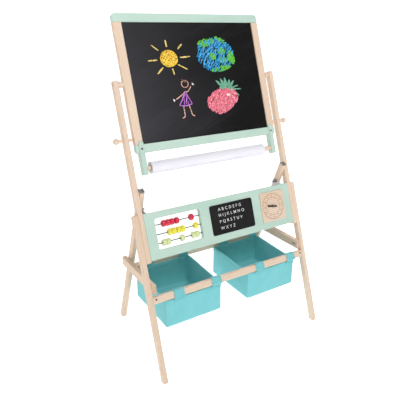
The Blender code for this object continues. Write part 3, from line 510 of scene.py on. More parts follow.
# ------------------------------------------------------------------ geometry helpers
def object_of(name, bm, materials, body, smooth=True, angle=40):
    bmesh.ops.recalc_face_normals(bm, faces=bm.faces)
    mesh = bpy.data.meshes.new(name)
    bm.to_mesh(mesh)
    bm.free()
    for made in materials if hasattr(materials, "__len__") else [materials]:
        mesh.materials.append(made)
    for polygon in mesh.polygons:
        polygon.use_smooth = smooth
    if smooth:
        mesh.set_sharp_from_angle(angle=math.radians(angle))
    obj = bpy.data.objects.new(name, mesh)
    scene.collection.objects.link(obj)
    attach(obj, body)
    return obj


def skin(bm, rings, close_around=True, cap=True, index=0):
    """Faces between successive rings of points, with the first and last ring filled."""
    rows = [[bm.verts.new(p) for p in ring] for ring in rings]
    count = len(rows[0])
    for a, b in zip(rows, rows[1:]):
        for i in range(count if close_around else count - 1):
            j = (i + 1) % count
            bm.faces.new((a[i], a[j], b[j], b[i])).material_index = index
    if cap:
        bm.faces.new(rows[0]).material_index = index
        bm.faces.new(rows[-1]).material_index = index
    return rows


def smooth_line(points, steps=5, closed=False):
    """A Catmull-Rom line through the points."""
    made = []
    n = len(points)
    last = n if closed else n - 1
    for i in range(last):
        p0 = points[(i - 1) % n] if closed else points[max(0, i - 1)]
        p1, p2 = points[i], points[(i + 1) % n]
        p3 = points[(i + 2) % n] if closed else points[min(n - 1, i + 2)]
        for k in range(steps):
            t = k / steps
            made.append(
                0.5 * ((2 * p1) + (p2 - p0) * t + (2 * p0 - 5 * p1 + 4 * p2 - p3) * t * t + (3 * p1 - p0 - 3 * p2 + p3) * t ** 3)
            )
    if not closed:
        made.append(points[-1].copy())
    return made


# ------------------------------------------------------------------ screws
def screw_head(bm, centre, out, radius=0.0034, turned=0.3):
    """A domed cross-recess screw head standing a little proud of the wood."""
    out = out.normalized()
    e1 = out.orthogonal().normalized()
    e2 = out.cross(e1)
    rings = []
    for r, h in ((1.0, -0.25), (1.0, 0.04), (0.93, 0.13), (0.72, 0.21), (0.45, 0.255)):
        rings.append([centre + out * (h * radius) + (e1 * math.cos(k * math.tau / 24 + turned) + e2 * math.sin(k * math.tau / 24 + turned)) * (r * radius) for k in range(24)])
    cross = []
    for k in range(24):
        angle = k * math.tau / 24
        arm = 0.40 if k % 6 in (0, 1, 5) else 0.17
        cross.append(centre + out * (0.255 * radius) + (e1 * math.cos(angle + turned) + e2 * math.sin(angle + turned)) * (arm * radius))
    rings.append(cross)
    rings.append([p - out * (0.20 * radius) - (p - centre - out * (0.255 * radius)) * 0.25 for p in cross])
    skin(bm, rings)


SCREW = steel("dark_screw", (84, 80, 80), 0.36, True)
FRONT_OUT = -(SLOPE.to_3x3() @ Vector((0, 1, 0)))
for name, body, spots in (
    ("rail_screws", "stand", [(SLOPE @ Vector((side * 0.2765, 0.0, s_of(0.2350))), FRONT_OUT) for side in (-1, 1)]
        + [(REAR @ Vector((side * 0.2480, RAIL_T / 2, BACK_S)), REAR.to_3x3() @ Vector((0, 1, 0))) for side in (-1, 1)]),
    ("panel_screws", "stand", [(SLOPE @ Vector((side * 0.2620, 0.0150, s_of(z, 0.015))), -FRONT_OUT) for side in (-1, 1) for z in (0.352, 0.432)]),
    ("side_rail_screws", "stand", [(Vector((side * 0.2703, y, 0.262)), Vector((-side, 0, 0))) for side in (-1, 1) for y in (-0.0935, -0.0850)]),
    ("board_screws", "writing_board", [(BOARD @ Vector((side * 0.2365, -0.0110, -0.1862)), FRONT_OUT) for side in (-1, 1)]
        + [(BOARD @ Vector((side * 0.2415, 0.0080, z)), -FRONT_OUT) for side in (-1, 1) for z in (-0.1862, 0.1862)]),
):
    bm = bmesh.new()
    for k, (centre, out) in enumerate(spots):
        screw_head(bm, centre, out, 0.0031, 0.3 + k * 0.7)
    object_of(name, bm, SCREW, body)


# ------------------------------------------------------------------ chalk drawings on the board
BOARD_FRONT = -0.0030              # depth of the writing face in the board's frame
STROKE_T = 0.00012


class Drawing:
    """Chalk strokes as thin closed ribbons just proud of the writing face."""

    def __init__(self, name, seed):
        self.name, self.bm, self.random = name, bmesh.new(), random.Random(seed)
        self.materials, self.layer = [], 0

    def stroke(self, points, width, index, taper=0.35, rough=0.14):
        """One ribbon through 2-D points, its width wavering as a hand-held stick's does."""
        r = self.random
        line = smooth_line([Vector((p[0], p[1], 0)) for p in points], 4) if len(points) > 2 else [
            Vector((points[0][0], points[0][1], 0)).lerp(Vector((points[1][0], points[1][1], 0)), k / 6) for k in range(7)
        ]
        n = len(line)
        top = BOARD_FRONT - STROKE_T - 0.000004 * (self.layer % 60)
        self.layer += 1
        low = BOARD_FRONT - 0.000002
        rings = []
        for i, p in enumerate(line):
            ahead = (line[min(n - 1, i + 1)] - line[max(0, i - 1)])
            if ahead.length < 1e-9:
                ahead = Vector((1, 0, 0))
            side = Vector((-ahead.y, ahead.x, 0)).normalized()
            end = min(1.0, min(i, n - 1 - i) / 1.5)
            half = width / 2 * (1 - taper * (1 - end)) * (1 + r.uniform(-rough, rough))
            a, b = p + side * half, p - side * half * (1 + r.uniform(-rough, rough))
            rings.append([
                BOARD @ Vector((a.x, top, a.y)), BOARD @ Vector((b.x, top, b.y)),
                BOARD @ Vector((b.x, low, b.y)), BOARD @ Vector((a.x, low, a.y)),
            ])
        skin(self.bm, rings, index=index)

    def circle(self, cx, cz, rx, rz, width, index, turns=1.0, wobble=0.03):
        r = self.random
        start = r.uniform(0, math.tau)
        steps = int(18 * turns)
        pts = []
        for k in range(steps + 1):
            a = start + math.tau * turns * k / steps
            m = 1 + r.uniform(-wobble, wobble)
            pts.append((cx + rx * m * math.cos(a), cz + rz * m * math.sin(a)))
        self.stroke(pts, width, index)

    def hatch(self, inside, box, angle, gap, width, index, length=0.02, skip=0.1, jitter=0.4):
        """Short strokes in one direction, kept inside an outline."""
        r = self.random
        d = Vector((math.cos(angle), math.sin(angle)))
        n = Vector((-d.y, d.x))
        cx, cz = (box[0] + box[1]) / 2, (box[2] + box[3]) / 2
        reach = math.hypot(box[1] - box[0], box[3] - box[2]) / 2
        k = -reach
        while k < reach:
            run = -reach
            while run < reach:
                step = length * r.uniform(0.6, 1.4)
                a = Vector((cx, cz)) + n * (k + r.uniform(-jitter, jitter) * gap) + d * run
                b = a + d * step + n * r.uniform(-0.3, 0.3) * gap
                pieces, held = 8, []
                for i in range(pieces + 1):
                    p = a.lerp(b, i / pieces)
                    if inside(p.x, p.y):
                        held.append(p)
                    elif held:
                        break
                if len(held) > 3 and r.random() > skip:
                    mid = held[len(held) // 2] + n * r.uniform(-0.25, 0.25) * gap
                    self.stroke([held[0], mid, held[-1]], width * r.uniform(0.8, 1.2), index)
                run += step * r.uniform(0.85, 1.05)
            k += gap

    def done(self, *colours):
        return object_of(self.name, self.bm, list(colours), "writing_board", smooth=False)


def disc(cx, cz, rx, rz, tilt=0.0):
    ct, st = math.cos(tilt), math.sin(tilt)

    def inside(x, z):
        u, v = (x - cx) * ct + (z - cz) * st, -(x - cx) * st + (z - cz) * ct
        return (u / rx) ** 2 + (v / rz) ** 2 < 1

    return inside


YELLOW_CHALK = chalk("chalk_yellow", (244, 192, 66), 0.86)
PALE_YELLOW = chalk("chalk_pale_yellow", (236, 206, 116), 0.80)
BLUE_CHALK = chalk("chalk_blue", (38, 146, 208), 0.84)
SKY_CHALK = chalk("chalk_sky", (84, 172, 232), 0.80)
GREEN_CHALK = chalk("chalk_green", (96, 186, 44), 0.86)
LEAF_CHALK = chalk("chalk_leaf", (104, 164, 136), 0.86)
PINK_CHALK = chalk("chalk_pink", (222, 106, 126), 0.92)
ROSE_CHALK = chalk("chalk_rose", (236, 136, 150), 0.84)
CREAM_CHALK = chalk("chalk_cream", (244, 222, 214), 0.86)
PURPLE_CHALK = chalk("chalk_purple", (186, 112, 206), 0.86)
SKIN_CHALK = chalk("chalk_peach", (232, 178, 158), 0.82)
BROWN_CHALK = chalk("chalk_brown", (116, 84, 66), 0.62)

sun = Drawing("chalk_sun", 3)
SUN = (-0.0955, 0.0670)
sun.hatch(disc(*SUN, 0.0265, 0.0225), (-0.13, -0.06, 0.04, 0.10), 0.9, 0.0034, 0.0040, 0, 0.030, 0.02)
sun.hatch(disc(*SUN, 0.0265, 0.0225), (-0.13, -0.06, 0.04, 0.10), -0.5, 0.0052, 0.0034, 0, 0.022, 0.15)
sun.circle(*SUN, 0.0275, 0.0235, 0.0036, 0, 1.25, 0.02)
for a0, a1 in (
    ((-0.0979, 0.1215), (-0.0970, 0.1015)), ((-0.0450, 0.1090), (-0.0598, 0.0948)), ((-0.0571, 0.0690), (-0.0225, 0.0712)),
    ((-0.0681, 0.0482), (-0.0390, 0.0330)), ((-0.0895, 0.0369), (-0.0860, 0.0190)), ((-0.1205, 0.0410), (-0.1410, 0.0235)),
    ((-0.1640, 0.0621), (-0.1358, 0.0640)), ((-0.1465, 0.1075), (-0.1265, 0.0915)),
):
    for shift in (-0.0007, 0.0007):
        m = ((a0[0] + a1[0]) / 2 + shift, (a0[1] + a1[1]) / 2 - shift)
        sun.stroke([(a0[0] + shift, a0[1]), m, (a1[0] + shift, a1[1])], 0.0030, 1)
sun.done(YELLOW_CHALK, PALE_YELLOW)

globe = Drawing("chalk_ball", 8)
GLOBE = (0.0715, 0.0735, 0.0720, 0.0545)
globe.hatch(disc(*GLOBE), (-0.01, 0.15, 0.01, 0.14), 1.15, 0.0060, 0.0027, 0, 0.018, 0.08)
globe.hatch(disc(GLOBE[0] + 0.004, GLOBE[1], 0.066, 0.049), (-0.01, 0.15, 0.01, 0.14), 0.85, 0.0074, 0.0027, 1, 0.016, 0.30)
for cx, cz, rx, rz, tilt in (
    (0.0420, 0.1120, 0.034, 0.013, 0.25), (0.0960, 0.0840, 0.016, 0.013, 0.2), (0.0600, 0.0700, 0.016, 0.009, -0.7),
    (0.1000, 0.0560, 0.020, 0.009, 0.1), (0.0850, 0.0300, 0.040, 0.0085, 0.15), (0.1290, 0.0650, 0.014, 0.024, 0.25),
    (0.0980, 0.1190, 0.024, 0.007, -0.35),
):
    globe.hatch(disc(cx, cz, rx, rz, tilt), (cx - rx, cx + rx, cz - rx, cz + rx), tilt + 0.4, 0.0032, 0.0034, 2, 0.018, 0.03)
globe.done(BLUE_CHALK, SKY_CHALK, GREEN_CHALK)

figure = Drawing("chalk_stick_figure", 5)
figure.circle(-0.0570, -0.0110, 0.0118, 0.0100, 0.0022, 1, 1.15, 0.05)
figure.hatch(lambda x, z: ((x + 0.058) / 0.0150) ** 2 + ((z + 0.004) / 0.0085) ** 2 < 1 and z > -0.007, (-0.076, -0.042, -0.012, 0.008), 0.3, 0.0030, 0.0020, 2, 0.012, 0.2)
figure.stroke([(-0.0620, -0.0330), (-0.0700, -0.0500), (-0.0870, -0.0735)], 0.0032, 0)
figure.stroke([(-0.0600, -0.0330), (-0.0530, -0.0500), (-0.0425, -0.0715)], 0.0032, 0)
figure.stroke([(-0.0875, -0.0740), (-0.0650, -0.0762), (-0.0420, -0.0718)], 0.0030, 0)
figure.hatch(lambda x, z: -0.0735 < z < -0.036 and abs(x + 0.0628 - (z + 0.033) * 0.02) < (-z - 0.030) * 0.44, (-0.09, -0.04, -0.075, -0.033), 1.35, 0.0048, 0.0022, 0, 0.022, 0.25)
figure.stroke([(-0.0625, -0.0350), (-0.0750, -0.0440), (-0.0960, -0.0555)], 0.0026, 1)
figure.stroke([(-0.0600, -0.0350), (-0.0500, -0.0330), (-0.0370, -0.0190)], 0.0026, 1)
for px, pz, a in ((-0.0995, -0.0560, 3.5), (-0.0315, -0.0148, 0.7)):
    for k in (-0.7, 0.0, 0.7):
        figure.stroke([(px, pz), (px + 0.0035 * math.cos(a + k), pz + 0.0035 * math.sin(a + k)), (px + 0.0065 * math.cos(a + k), pz + 0.0065 * math.sin(a + k))], 0.0024, 3)
figure.stroke([(-0.0745, -0.0765), (-0.0740, -0.0930), (-0.0752, -0.1085), (-0.0845, -0.1120)], 0.0028, 1)
figure.stroke([(-0.0545, -0.0745), (-0.0515, -0.0900), (-0.0480, -0.1050), (-0.0400, -0.1090)], 0.0028, 1)
figure.done(PURPLE_CHALK, SKIN_CHALK, BROWN_CHALK, CREAM_CHALK)

berry = Drawing("chalk_strawberry", 12)


def in_berry(x, z):
    """A rounded, pointed fruit that leans a little to the left at its foot."""
    v = (z + 0.1130) / 0.0830
    if not 0 < v < 1:
        return False
    half = 0.0595 * max(0.0, math.sin(math.pi * min(1.0, v) ** 1.15)) ** 0.48
    mid = 0.0534 + 0.0330 * v
    return abs(x - mid) < half


berry.hatch(in_berry, (0.01, 0.14, -0.115, -0.03), 0.75, 0.0036, 0.0042, 0, 0.030, 0.02)
berry.hatch(in_berry, (0.01, 0.14, -0.115, -0.03), 1.05, 0.0078, 0.0030, 1, 0.018, 0.30)
r = random.Random(21)
for row in range(6):
    for col in range(7):
        x, z = 0.022 + col * 0.0165 + (row % 2) * 0.008, -0.102 + row * 0.0125
        if in_berry(x - 0.004, z) and in_berry(x + 0.004, z):
            berry.stroke([(x, z + 0.0026), (x + r.uniform(-0.0008, 0.0008), z), (x - 0.0004, z - 0.0026)], 0.0021, 2, 0.5)
for k in range(3):
    berry.stroke([(0.0880, -0.0520 - 0.0026 * k), (0.0945, -0.0500 - 0.0028 * k), (0.1010, -0.0530 - 0.0030 * k)], 0.0024, 2)
for tip in ((0.0560, -0.0060), (0.0740, -0.0010), (0.0905, 0.0010), (0.1080, -0.0060), (0.1240, -0.0100), (0.1385, -0.0260), (0.1490, -0.0390), (0.1370, -0.0590)):
    root = (0.0930 + (tip[0] - 0.0930) * 0.25, -0.0375 + (tip[1] + 0.0375) * 0.10)
    for off in (-0.0030, -0.0010, 0.0012, 0.0032):
        m = ((root[0] + tip[0]) / 2 + off * 1.3, (root[1] + tip[1]) / 2 + abs(off) * 0.2)
        berry.stroke([(root[0] + off, root[1]), m, tip], 0.0031, 3, 0.6)
berry.hatch(disc(0.0960, -0.0350, 0.0330, 0.0090, -0.15), (0.06, 0.13, -0.06, -0.02), 0.2, 0.0032, 0.0032, 3, 0.018, 0.05)
berry.done(PINK_CHALK, ROSE_CHALK, CREAM_CHALK, LEAF_CHALK)


# ------------------------------------------------------------------ printing on the play panel
def on_face(matrix, x, up, depth):
    """A frame for flat lettering: x across, y up the slope, z out of the face."""
    origin = matrix @ Vector((x, depth, up))
    ex, ey = matrix.to_3x3() @ Vector((1, 0, 0)), matrix.to_3x3() @ Vector((0, 0, 1))
    ez = ex.cross(ey)
    made = Matrix((ex, ey, ez)).transposed().to_4x4()
    made.translation = origin
    return made


def lettering(text, size, thick, spacing=1.0, bold=0.0):
    """Text as a thin solid mesh; returns the mesh and the least and greatest x and y of its box."""
    curve = bpy.data.curves.new("text", "FONT")
    curve.body = text
    curve.size = size
    curve.space_character = spacing
    curve.extrude = thick / 2
    curve.offset = bold
    curve.resolution_u = 4
    holder = bpy.data.objects.new("text_holder", curve)
    scene.collection.objects.link(holder)
    bpy.context.view_layer.update()
    mesh = bpy.data.meshes.new_from_object(holder.evaluated_get(bpy.context.evaluated_depsgraph_get()))
    bpy.data.objects.remove(holder, do_unlink=True)
    bm = bmesh.new()
    bm.from_mesh(mesh)
    bmesh.ops.remove_doubles(bm, verts=bm.verts, dist=1e-7)
    bm.to_mesh(mesh)
    bm.free()
    xs = [v.co.x for v in mesh.vertices]
    ys = [v.co.y for v in mesh.vertices]
    return mesh, min(xs), max(xs), min(ys), max(ys)


def add_mesh(bm, mesh, matrix):
    mesh = mesh.copy()
    mesh.transform(matrix)
    bm.from_mesh(mesh)


PLATE_FACE = 0.0018 - 0.0003 - 0.0030      # depth of the letter board's and clock plate's faces
WHITE_INK = print_ink("white_print", (240, 240, 240), 0.12)
BROWN_INK = print_ink("brown_print", (186, 134, 96), 0.22)
letters = bmesh.new()
s0, s1 = s_of(0.3610), s_of(0.4490)
for row, text in enumerate(("ABCDEFG", "HIJKLMNO", "PQRSTUV", "WXYZ")):
    mesh, x0, x1, y0, y1 = lettering(text, 0.0134, 0.00016, 1.74, 0.00004)
    place = on_face(SLOPE, 0, 0, PLATE_FACE - 0.00008)
    up = s0 + (s1 - s0) * (0.842 - 0.2135 * row)
    add_mesh(letters, mesh, place @ Matrix.Translation((-0.0225 - x0, up - (y0 + y1) / 2, 0)))
object_of("printed_letters", letters, WHITE_INK, "stand", smooth=False)

dial = bmesh.new()
CLOCK_X = (0.1435 + 0.2415) / 2
CLOCK_S = (s_of(0.3600) + s_of(0.4525)) / 2
dial_frame = on_face(SLOPE, CLOCK_X, CLOCK_S, PLATE_FACE)


def flat_ring(bm, r0, r1, thick, steps=96, a0=0.0, a1=math.tau):
    closed = abs(a1 - a0 - math.tau) < 1e-6
    count = steps if closed else steps + 1
    rings = []
    for k in range(count):
        a = a0 + (a1 - a0) * k / steps
        c, s = math.cos(a), math.sin(a)
        rings.append([dial_frame @ Vector((r * c, r * s, h)) for r, h in ((r0, 0.00002), (r1, 0.00002), (r1, thick), (r0, thick))])
    if closed:
        rings.append(rings[0])
        rows = [[bm.verts.new(p) for p in ring] for ring in rings[:-1]]
        for i in range(len(rows)):
            a, b = rows[i], rows[(i + 1) % len(rows)]
            for j in range(4):
                bm.faces.new((a[j], a[(j + 1) % 4], b[(j + 1) % 4], b[j]))
    else:
        skin(bm, rings)


flat_ring(dial, 0.0422, 0.0434, 0.00014)
flat_ring(dial, 0.0400, 0.0405, 0.00012)
flat_ring(dial, 0.0292, 0.0300, 0.00014)
for minute in range(60):
    a = math.tau * minute / 60
    width = 0.0012 if minute % 5 == 0 else 0.0005
    inner, outer = (0.0258, 0.0288) if minute % 5 == 0 else (0.0276, 0.0288)
    half = width / 2 / 0.028
    flat_ring(dial, inner, outer, 0.00012, 2, a - half, a + half)
for hour in range(1, 13):
    a = math.pi / 2 - math.tau * hour / 12
    mesh, x0, x1, y0, y1 = lettering(str(hour), 0.0078, 0.00014, 1.0, 0.00010)
    centre = Vector((0.0350 * math.cos(a), 0.0350 * math.sin(a), 0.00007))
    add_mesh(dial, mesh, dial_frame @ Matrix.Translation(centre - Vector(((x0 + x1) / 2, (y0 + y1) / 2, 0))))
object_of("clock_dial_print", dial, BROWN_INK, "stand", smooth=False)

# ------------------------------------------------------------------ paper roll
ROLL_AXIS = BOARD @ Vector((0, 0, -0.2430))
ROLL_X = (-0.2170, 0.1940)
STEP = 0.00035


def roll_radius(a):
    """The outer turn's radius grows by one layer in a full turn."""
    return 0.01760 + STEP * (a / math.tau)


roll = bmesh.new()
around = 96
start = math.radians(-62)
rows = []
ends = []
for x, inset in ((ROLL_X[0], 1), (ROLL_X[1], -1)):
    r = random.Random(4 if inset > 0 else 9)
    levels = []
    for k in range(9):
        share = k / 8
        levels.append((0.0098 + (1.0 - 0.0) * 0.0 + share, x + inset * (0.0 if k in (0, 8) else r.uniform(0.0001, 0.0008))))
    ends.append(levels)
sections = []
for share, x in ends[0]:
    share = share - 0.0098
    sections.append((x, lambda a, q=share: 0.0098 + (roll_radius(a) - 0.0098) * q))
for k in range(1, 8):
    sections.append((ROLL_X[0] + (ROLL_X[1] - ROLL_X[0]) * k / 8, lambda a: roll_radius(a)))
for share, x in reversed(ends[1]):
    share = share - 0.0098
    sections.append((x, lambda a, q=share: 0.0098 + (roll_radius(a) - 0.0098) * q))
rings = []
for x, radius in sections:
    ring = []
    for k in range(around + 1):
        a = math.tau * k / around
        ring.append(Vector((x, ROLL_AXIS.y + radius(a) * math.cos(a + start), ROLL_AXIS.z + radius(a) * math.sin(a + start))))
    rings.append(ring)
rows = [[roll.verts.new(p) for p in ring] for ring in rings]
rows.append(rows[0])
for a, b in zip(rows, rows[1:]):
    for i in range(around + 1):
        j = (i + 1) % (around + 1)
        roll.faces.new((a[i], a[j], b[j], b[i]))
PAPER = paper("drawing_paper", ROLL_AXIS)
roll_piece = object_of("paper_wound", roll, PAPER, "paper")
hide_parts("paper_roll")

flap = bmesh.new()
rings = []
for side_x in range(9):
    x = ROLL_X[0] + 0.0003 + (ROLL_X[1] - ROLL_X[0] - 0.0006) * side_x / 8
    outer, inner = [], []
    for k in range(13):
        share = k / 12
        a = math.tau - math.radians(30) + math.radians(46) * share
        lift = 0.0002 + 0.00075 * share ** 2.2 + 0.00006 * math.sin(side_x * 1.9)
        base = 0.01760 + STEP * min(1.0, a / math.tau) + lift
        for line, radius in ((outer, base + 0.00012), (inner, base - 0.00012)):
            line.append(Vector((x, ROLL_AXIS.y + radius * math.cos(a + start), ROLL_AXIS.z + radius * math.sin(a + start))))
    rings.append(outer + inner[::-1])
skin(flap, rings)
object_of("paper_loose_end", flap, PAPER, "paper")

core = bmesh.new()
profile = [(ROLL_X[0] - 0.0006, 0.0084), (ROLL_X[0] - 0.0006, 0.0096), (ROLL_X[1] + 0.0006, 0.0096), (ROLL_X[1] + 0.0006, 0.0084)]
rings = [[Vector((x, ROLL_AXIS.y + r * math.cos(k * math.tau / 48), ROLL_AXIS.z + r * math.sin(k * math.tau / 48))) for x, r in profile] for k in range(48)]
rows = [[core.verts.new(p) for p in ring] for ring in rings]
for i in range(48):
    a, b = rows[i], rows[(i + 1) % 48]
    for j in range(4):
        core.faces.new((a[j], a[(j + 1) % 4], b[(j + 1) % 4], b[j]))
object_of("paper_core_tube", core, card("grey_card"), "paper")

# ------------------------------------------------------------------ fabric bins
CLOTH_T = 0.0018
BIN_Y = (-0.1131, 0.0953)
BIN_TOP, BIN_LOW = 0.2168, 0.1240
LOOP_W = 0.0340
CANVAS = cloth("turquoise_canvas", (137, 216, 221), (118, 202, 208), 0.90)
CANVAS_HEM = cloth("turquoise_canvas_hem", (134, 213, 218), (112, 196, 203), 0.90)
THREAD = cloth("turquoise_thread", (158, 226, 230), (140, 214, 219), 0.92)


def bell(f, a, b):
    """0 outside a to b, rising to 1 midway."""
    return math.sin(math.pi * (f - a) / (b - a)) if a < f < b else 0.0


class Bin:
    """A cloth box hung by four loops: taut walls that belly a little, a sagging base, sewn corners."""

    SIDE, CORNER = 26, 6

    def __init__(self, name, x0, x1, seed):
        self.name, self.seed = name, seed
        self.cx, self.cy = (x0 + x1) / 2, sum(BIN_Y) / 2
        self.x0, self.x1 = x0, x1
        self.a = (x1 - x0) / 2 - CLOTH_T / 2
        self.b = (BIN_Y[1] - BIN_Y[0]) / 2 - CLOTH_T / 2
        # Places round the outline: (corner x sign, corner y sign, angle, wall, share along it)
        self.around = []
        corners = ((1, 1, 0.0), (-1, 1, 0.5), (-1, -1, 1.0), (1, -1, 1.5))
        for number, (sx, sy, turn_) in enumerate(corners):
            for k in range(self.CORNER + 1):
                self.around.append(("corner", sx, sy, math.pi * (turn_ + 0.5 * k / self.CORNER), k / self.CORNER, number))
            nx = corners[(number + 1) % 4]
            for k in range(1, self.SIDE):
                self.around.append(("side", (sx, sy), (nx[0], nx[1]), math.pi * (turn_ + 0.5), k / self.SIDE, number))

    def outline(self, place, a, b, r):
        """(x, y, normal x, normal y) of a place on a rounded rectangle about the bin's middle."""
        if place[0] == "corner":
            _, sx, sy, angle, _, _ = place
            return sx * (a - r) + r * math.cos(angle), sy * (b - r) + r * math.sin(angle), math.cos(angle), math.sin(angle)
        _, (sx, sy), (tx, ty), angle, f, _ = place
        n = (math.cos(angle), math.sin(angle))
        p = Vector((sx * (a - r) + r * n[0], sy * (b - r) + r * n[1]))
        q = Vector((tx * (a - r) + r * n[0], ty * (b - r) + r * n[1]))
        m = p.lerp(q, f)
        return m.x, m.y, n[0], n[1]

    def at(self, place, v):
        """Point of the cloth's middle on the wall, v from 0 at the top edge to 1 where the base turns in."""
        f = place[4] if place[0] == "side" else 0.0
        wall = place[5]                     # 0 back, 1 left, 2 front, 3 right
        height = BIN_TOP - BIN_LOW - 0.0065
        r = 0.0085 - 0.0015 * v
        x, y, nx, ny = self.outline(place, self.a, self.b, r)
        belly = dip = 0.0
        mid = math.sin(math.pi * f)
        # The edge climbs from the front rail to the back one, and the side walls stand up between them.
        top = BIN_TOP + 0.0090 * (y / self.b * 0.5 + 0.5)
        if place[0] == "side" and wall in (1, 3):
            top += 0.0028 * mid ** 0.6
        z = top - 0.0012 - v * (height + top - BIN_TOP)
        if place[0] == "side":
            if wall in (0, 2):
                belly = 0.0018 * mid * math.sin(math.pi * v)
                dip = 0.0005 * bell(f, 0.2, 0.8)
            else:
                belly = -0.0010 * mid * (1 - v) ** 1.4 + 0.0012 * mid * math.sin(math.pi * v)
                dip = 0.0008 * mid
        z -= dip * (1 - v) ** 1.5
        p = Vector((self.cx + x, self.cy + y, z))
        slack = 0.20 + 0.80 * mid
        q = Vector((p.x * 15 + self.seed, p.y * 15, p.z * 11))
        fold = noise.noise(q) * 0.0013 + noise.noise(Vector((p.x * 46, p.y * 46 + self.seed, p.z * 20))) * 0.00055
        pull = 0.0
        if place[0] == "side" and wall in (0, 2):
            for edge in (0.16, 0.84):
                far = abs(f - edge)
                pull += 0.0007 * math.exp(-(far / 0.06) ** 2) * math.exp(-v * 3.0) * math.sin(f * 170)
        if place[0] == "side" and wall == 0:
            pull -= 0.0034 * (1 - v) ** 6 * min(1.0, mid * 4)
        seam = 0.0
        if place[0] == "corner":
            k = abs(place[4] - 0.5)
            seam = 0.0013 * math.exp(-(k / 0.12) ** 2) - 0.0004 * math.exp(-((k - 0.33) / 0.12) ** 2)
        n = Vector((nx, ny, 0))
        return p + n * (belly + fold * slack + pull + seam), n

    def base(self, place, v):
        """Point of the cloth's middle on the turned edge, then the base; v from 0 to 1 at its middle."""
        edge = 0.0065
        start_p, n = self.at(place, 1.0)
        if v < 0.16:
            a = v / 0.16 * math.pi / 2
            return start_p - n * (edge * (1 - math.cos(a))) - Vector((0, 0, edge * math.sin(a)))
        k = (v - 0.16) / 0.84
        rim = start_p - n * edge - Vector((0, 0, edge))
        centre = Vector((self.cx, self.cy, rim.z))
        p = rim.lerp(centre, k)
        u, w = (p.x - self.cx) / self.a, (p.y - self.cy) / self.b
        sag = 0.0042 * max(0.0, 1 - u * u) * max(0.0, 1 - w * w)
        ripple = noise.noise(Vector((p.x * 26 + self.seed, p.y * 26, 3.0))) * 0.0007 * min(1.0, k * 5)
        return p - Vector((0, 0, sag)) + Vector((0, 0, ripple))

    def shell(self):
        bm = bmesh.new()
        rings = []
        rows = 20
        for j in range(rows + 1):
            v = j / rows
            rings.append([self.at(place, v)[0] for place in self.around])
        for j in range(1, 16):
            v = j / 4 * 0.16 if j <= 4 else 0.16 + (j - 4) / 12 * 0.84
            rings.append([self.base(place, min(v, 0.965)) for place in self.around])
        verts = skin(bm, rings, cap=False)
        hub = bm.verts.new(sum((v.co for v in verts[-1]), Vector()) / len(verts[-1]))
        last = verts[-1]
        for i in range(len(last)):
            bm.faces.new((last[i], last[(i + 1) % len(last)], hub))
        body = object_of(f"{self.name}_cloth", bm, CANVAS, "stand", angle=60)
        thick = body.modifiers.new("cloth thickness", "SOLIDIFY")
        thick.thickness = CLOTH_T
        thick.offset = 0.0
        return body

    def hem(self, depth=0.0130):
        """The cloth's top edge folded over and sewn down."""
        bm = bmesh.new()
        height = BIN_TOP - BIN_LOW - 0.0065
        rings = []
        for place in self.around:
            top, n = self.at(place, 0.0)
            low, _ = self.at(place, depth / height)
            mid, _ = self.at(place, depth / height / 2)
            up = Vector((0, 0, 1))
            o, i_ = 0.00175, 0.0008
            rings.append([
                low + n * i_, low + n * (o - 0.0003) - up * 0.0004, low + n * o + up * 0.0004, mid + n * (o + 0.00015), top + n * o, top + n * 0.0013 + up * 0.0008, top + up * 0.0012,
                top - n * 0.0013 + up * 0.0008, top - n * o, mid - n * (o + 0.00015), low - n * o + up * 0.0004, low - n * (o - 0.0003) - up * 0.0004, low - n * i_,
            ])
        rows = [[bm.verts.new(p) for p in ring] for ring in rings]
        for k in range(len(rows)):
            a, b = rows[k], rows[(k + 1) % len(rows)]
            for j in range(len(a)):
                bm.faces.new((a[j], a[(j + 1) % len(a)], b[(j + 1) % len(a)], b[j]))
        return object_of(f"{self.name}_hem", bm, CANVAS_HEM, "stand", angle=60)

    def loop_path(self, back):
        """The loop's middle line in the plane across the rail, from the outside of the wall, over the rail, to its inside."""
        frame_, ya, yb = (REAR, -RAIL_T / 2, RAIL_T / 2) if back else (SLOPE, 0.0, RAIL_T)
        mid_s = BACK_S if back else RAIL_S
        wall = BIN_Y[1] - CLOTH_T / 2 if back else BIN_Y[0] + CLOTH_T / 2
        out = 1 if back else -1
        near, far = (yb, ya) if back else (ya, yb)
        h = RAIL_H / 2

        def rail(d, s):
            p = frame_ @ Vector((0, d, mid_s + s))
            return Vector((0, p.y, p.z))

        g = 0.0016
        low = [Vector((0, wall + out * 0.0028, z)) for z in (0.2050, 0.2105, 0.2160)]
        inner = [Vector((0, wall - out * 0.0028, z)) for z in (0.2140, 0.2090, 0.2040)]
        points = low + [
            rail(near + out * (g + 0.0004), -h), rail(near + out * (g + 0.0007), 0.0), rail(near + out * g, h - 0.0010), rail(near - out * 0.0004, h + g - 0.0002),
            rail((near + far) / 2, h + g), rail(far + out * 0.0004, h + g - 0.0002), rail(far - out * g, h - 0.0010), rail(far - out * (g + 0.0007), 0.0),
            rail(far - out * (g + 0.0004), -h),
        ] + inner
        return smooth_line(points, 5)

    def loop(self, name, xa, xb, back):
        bm = bmesh.new()
        line = self.loop_path(back)
        n = len(line)
        half = 0.00065
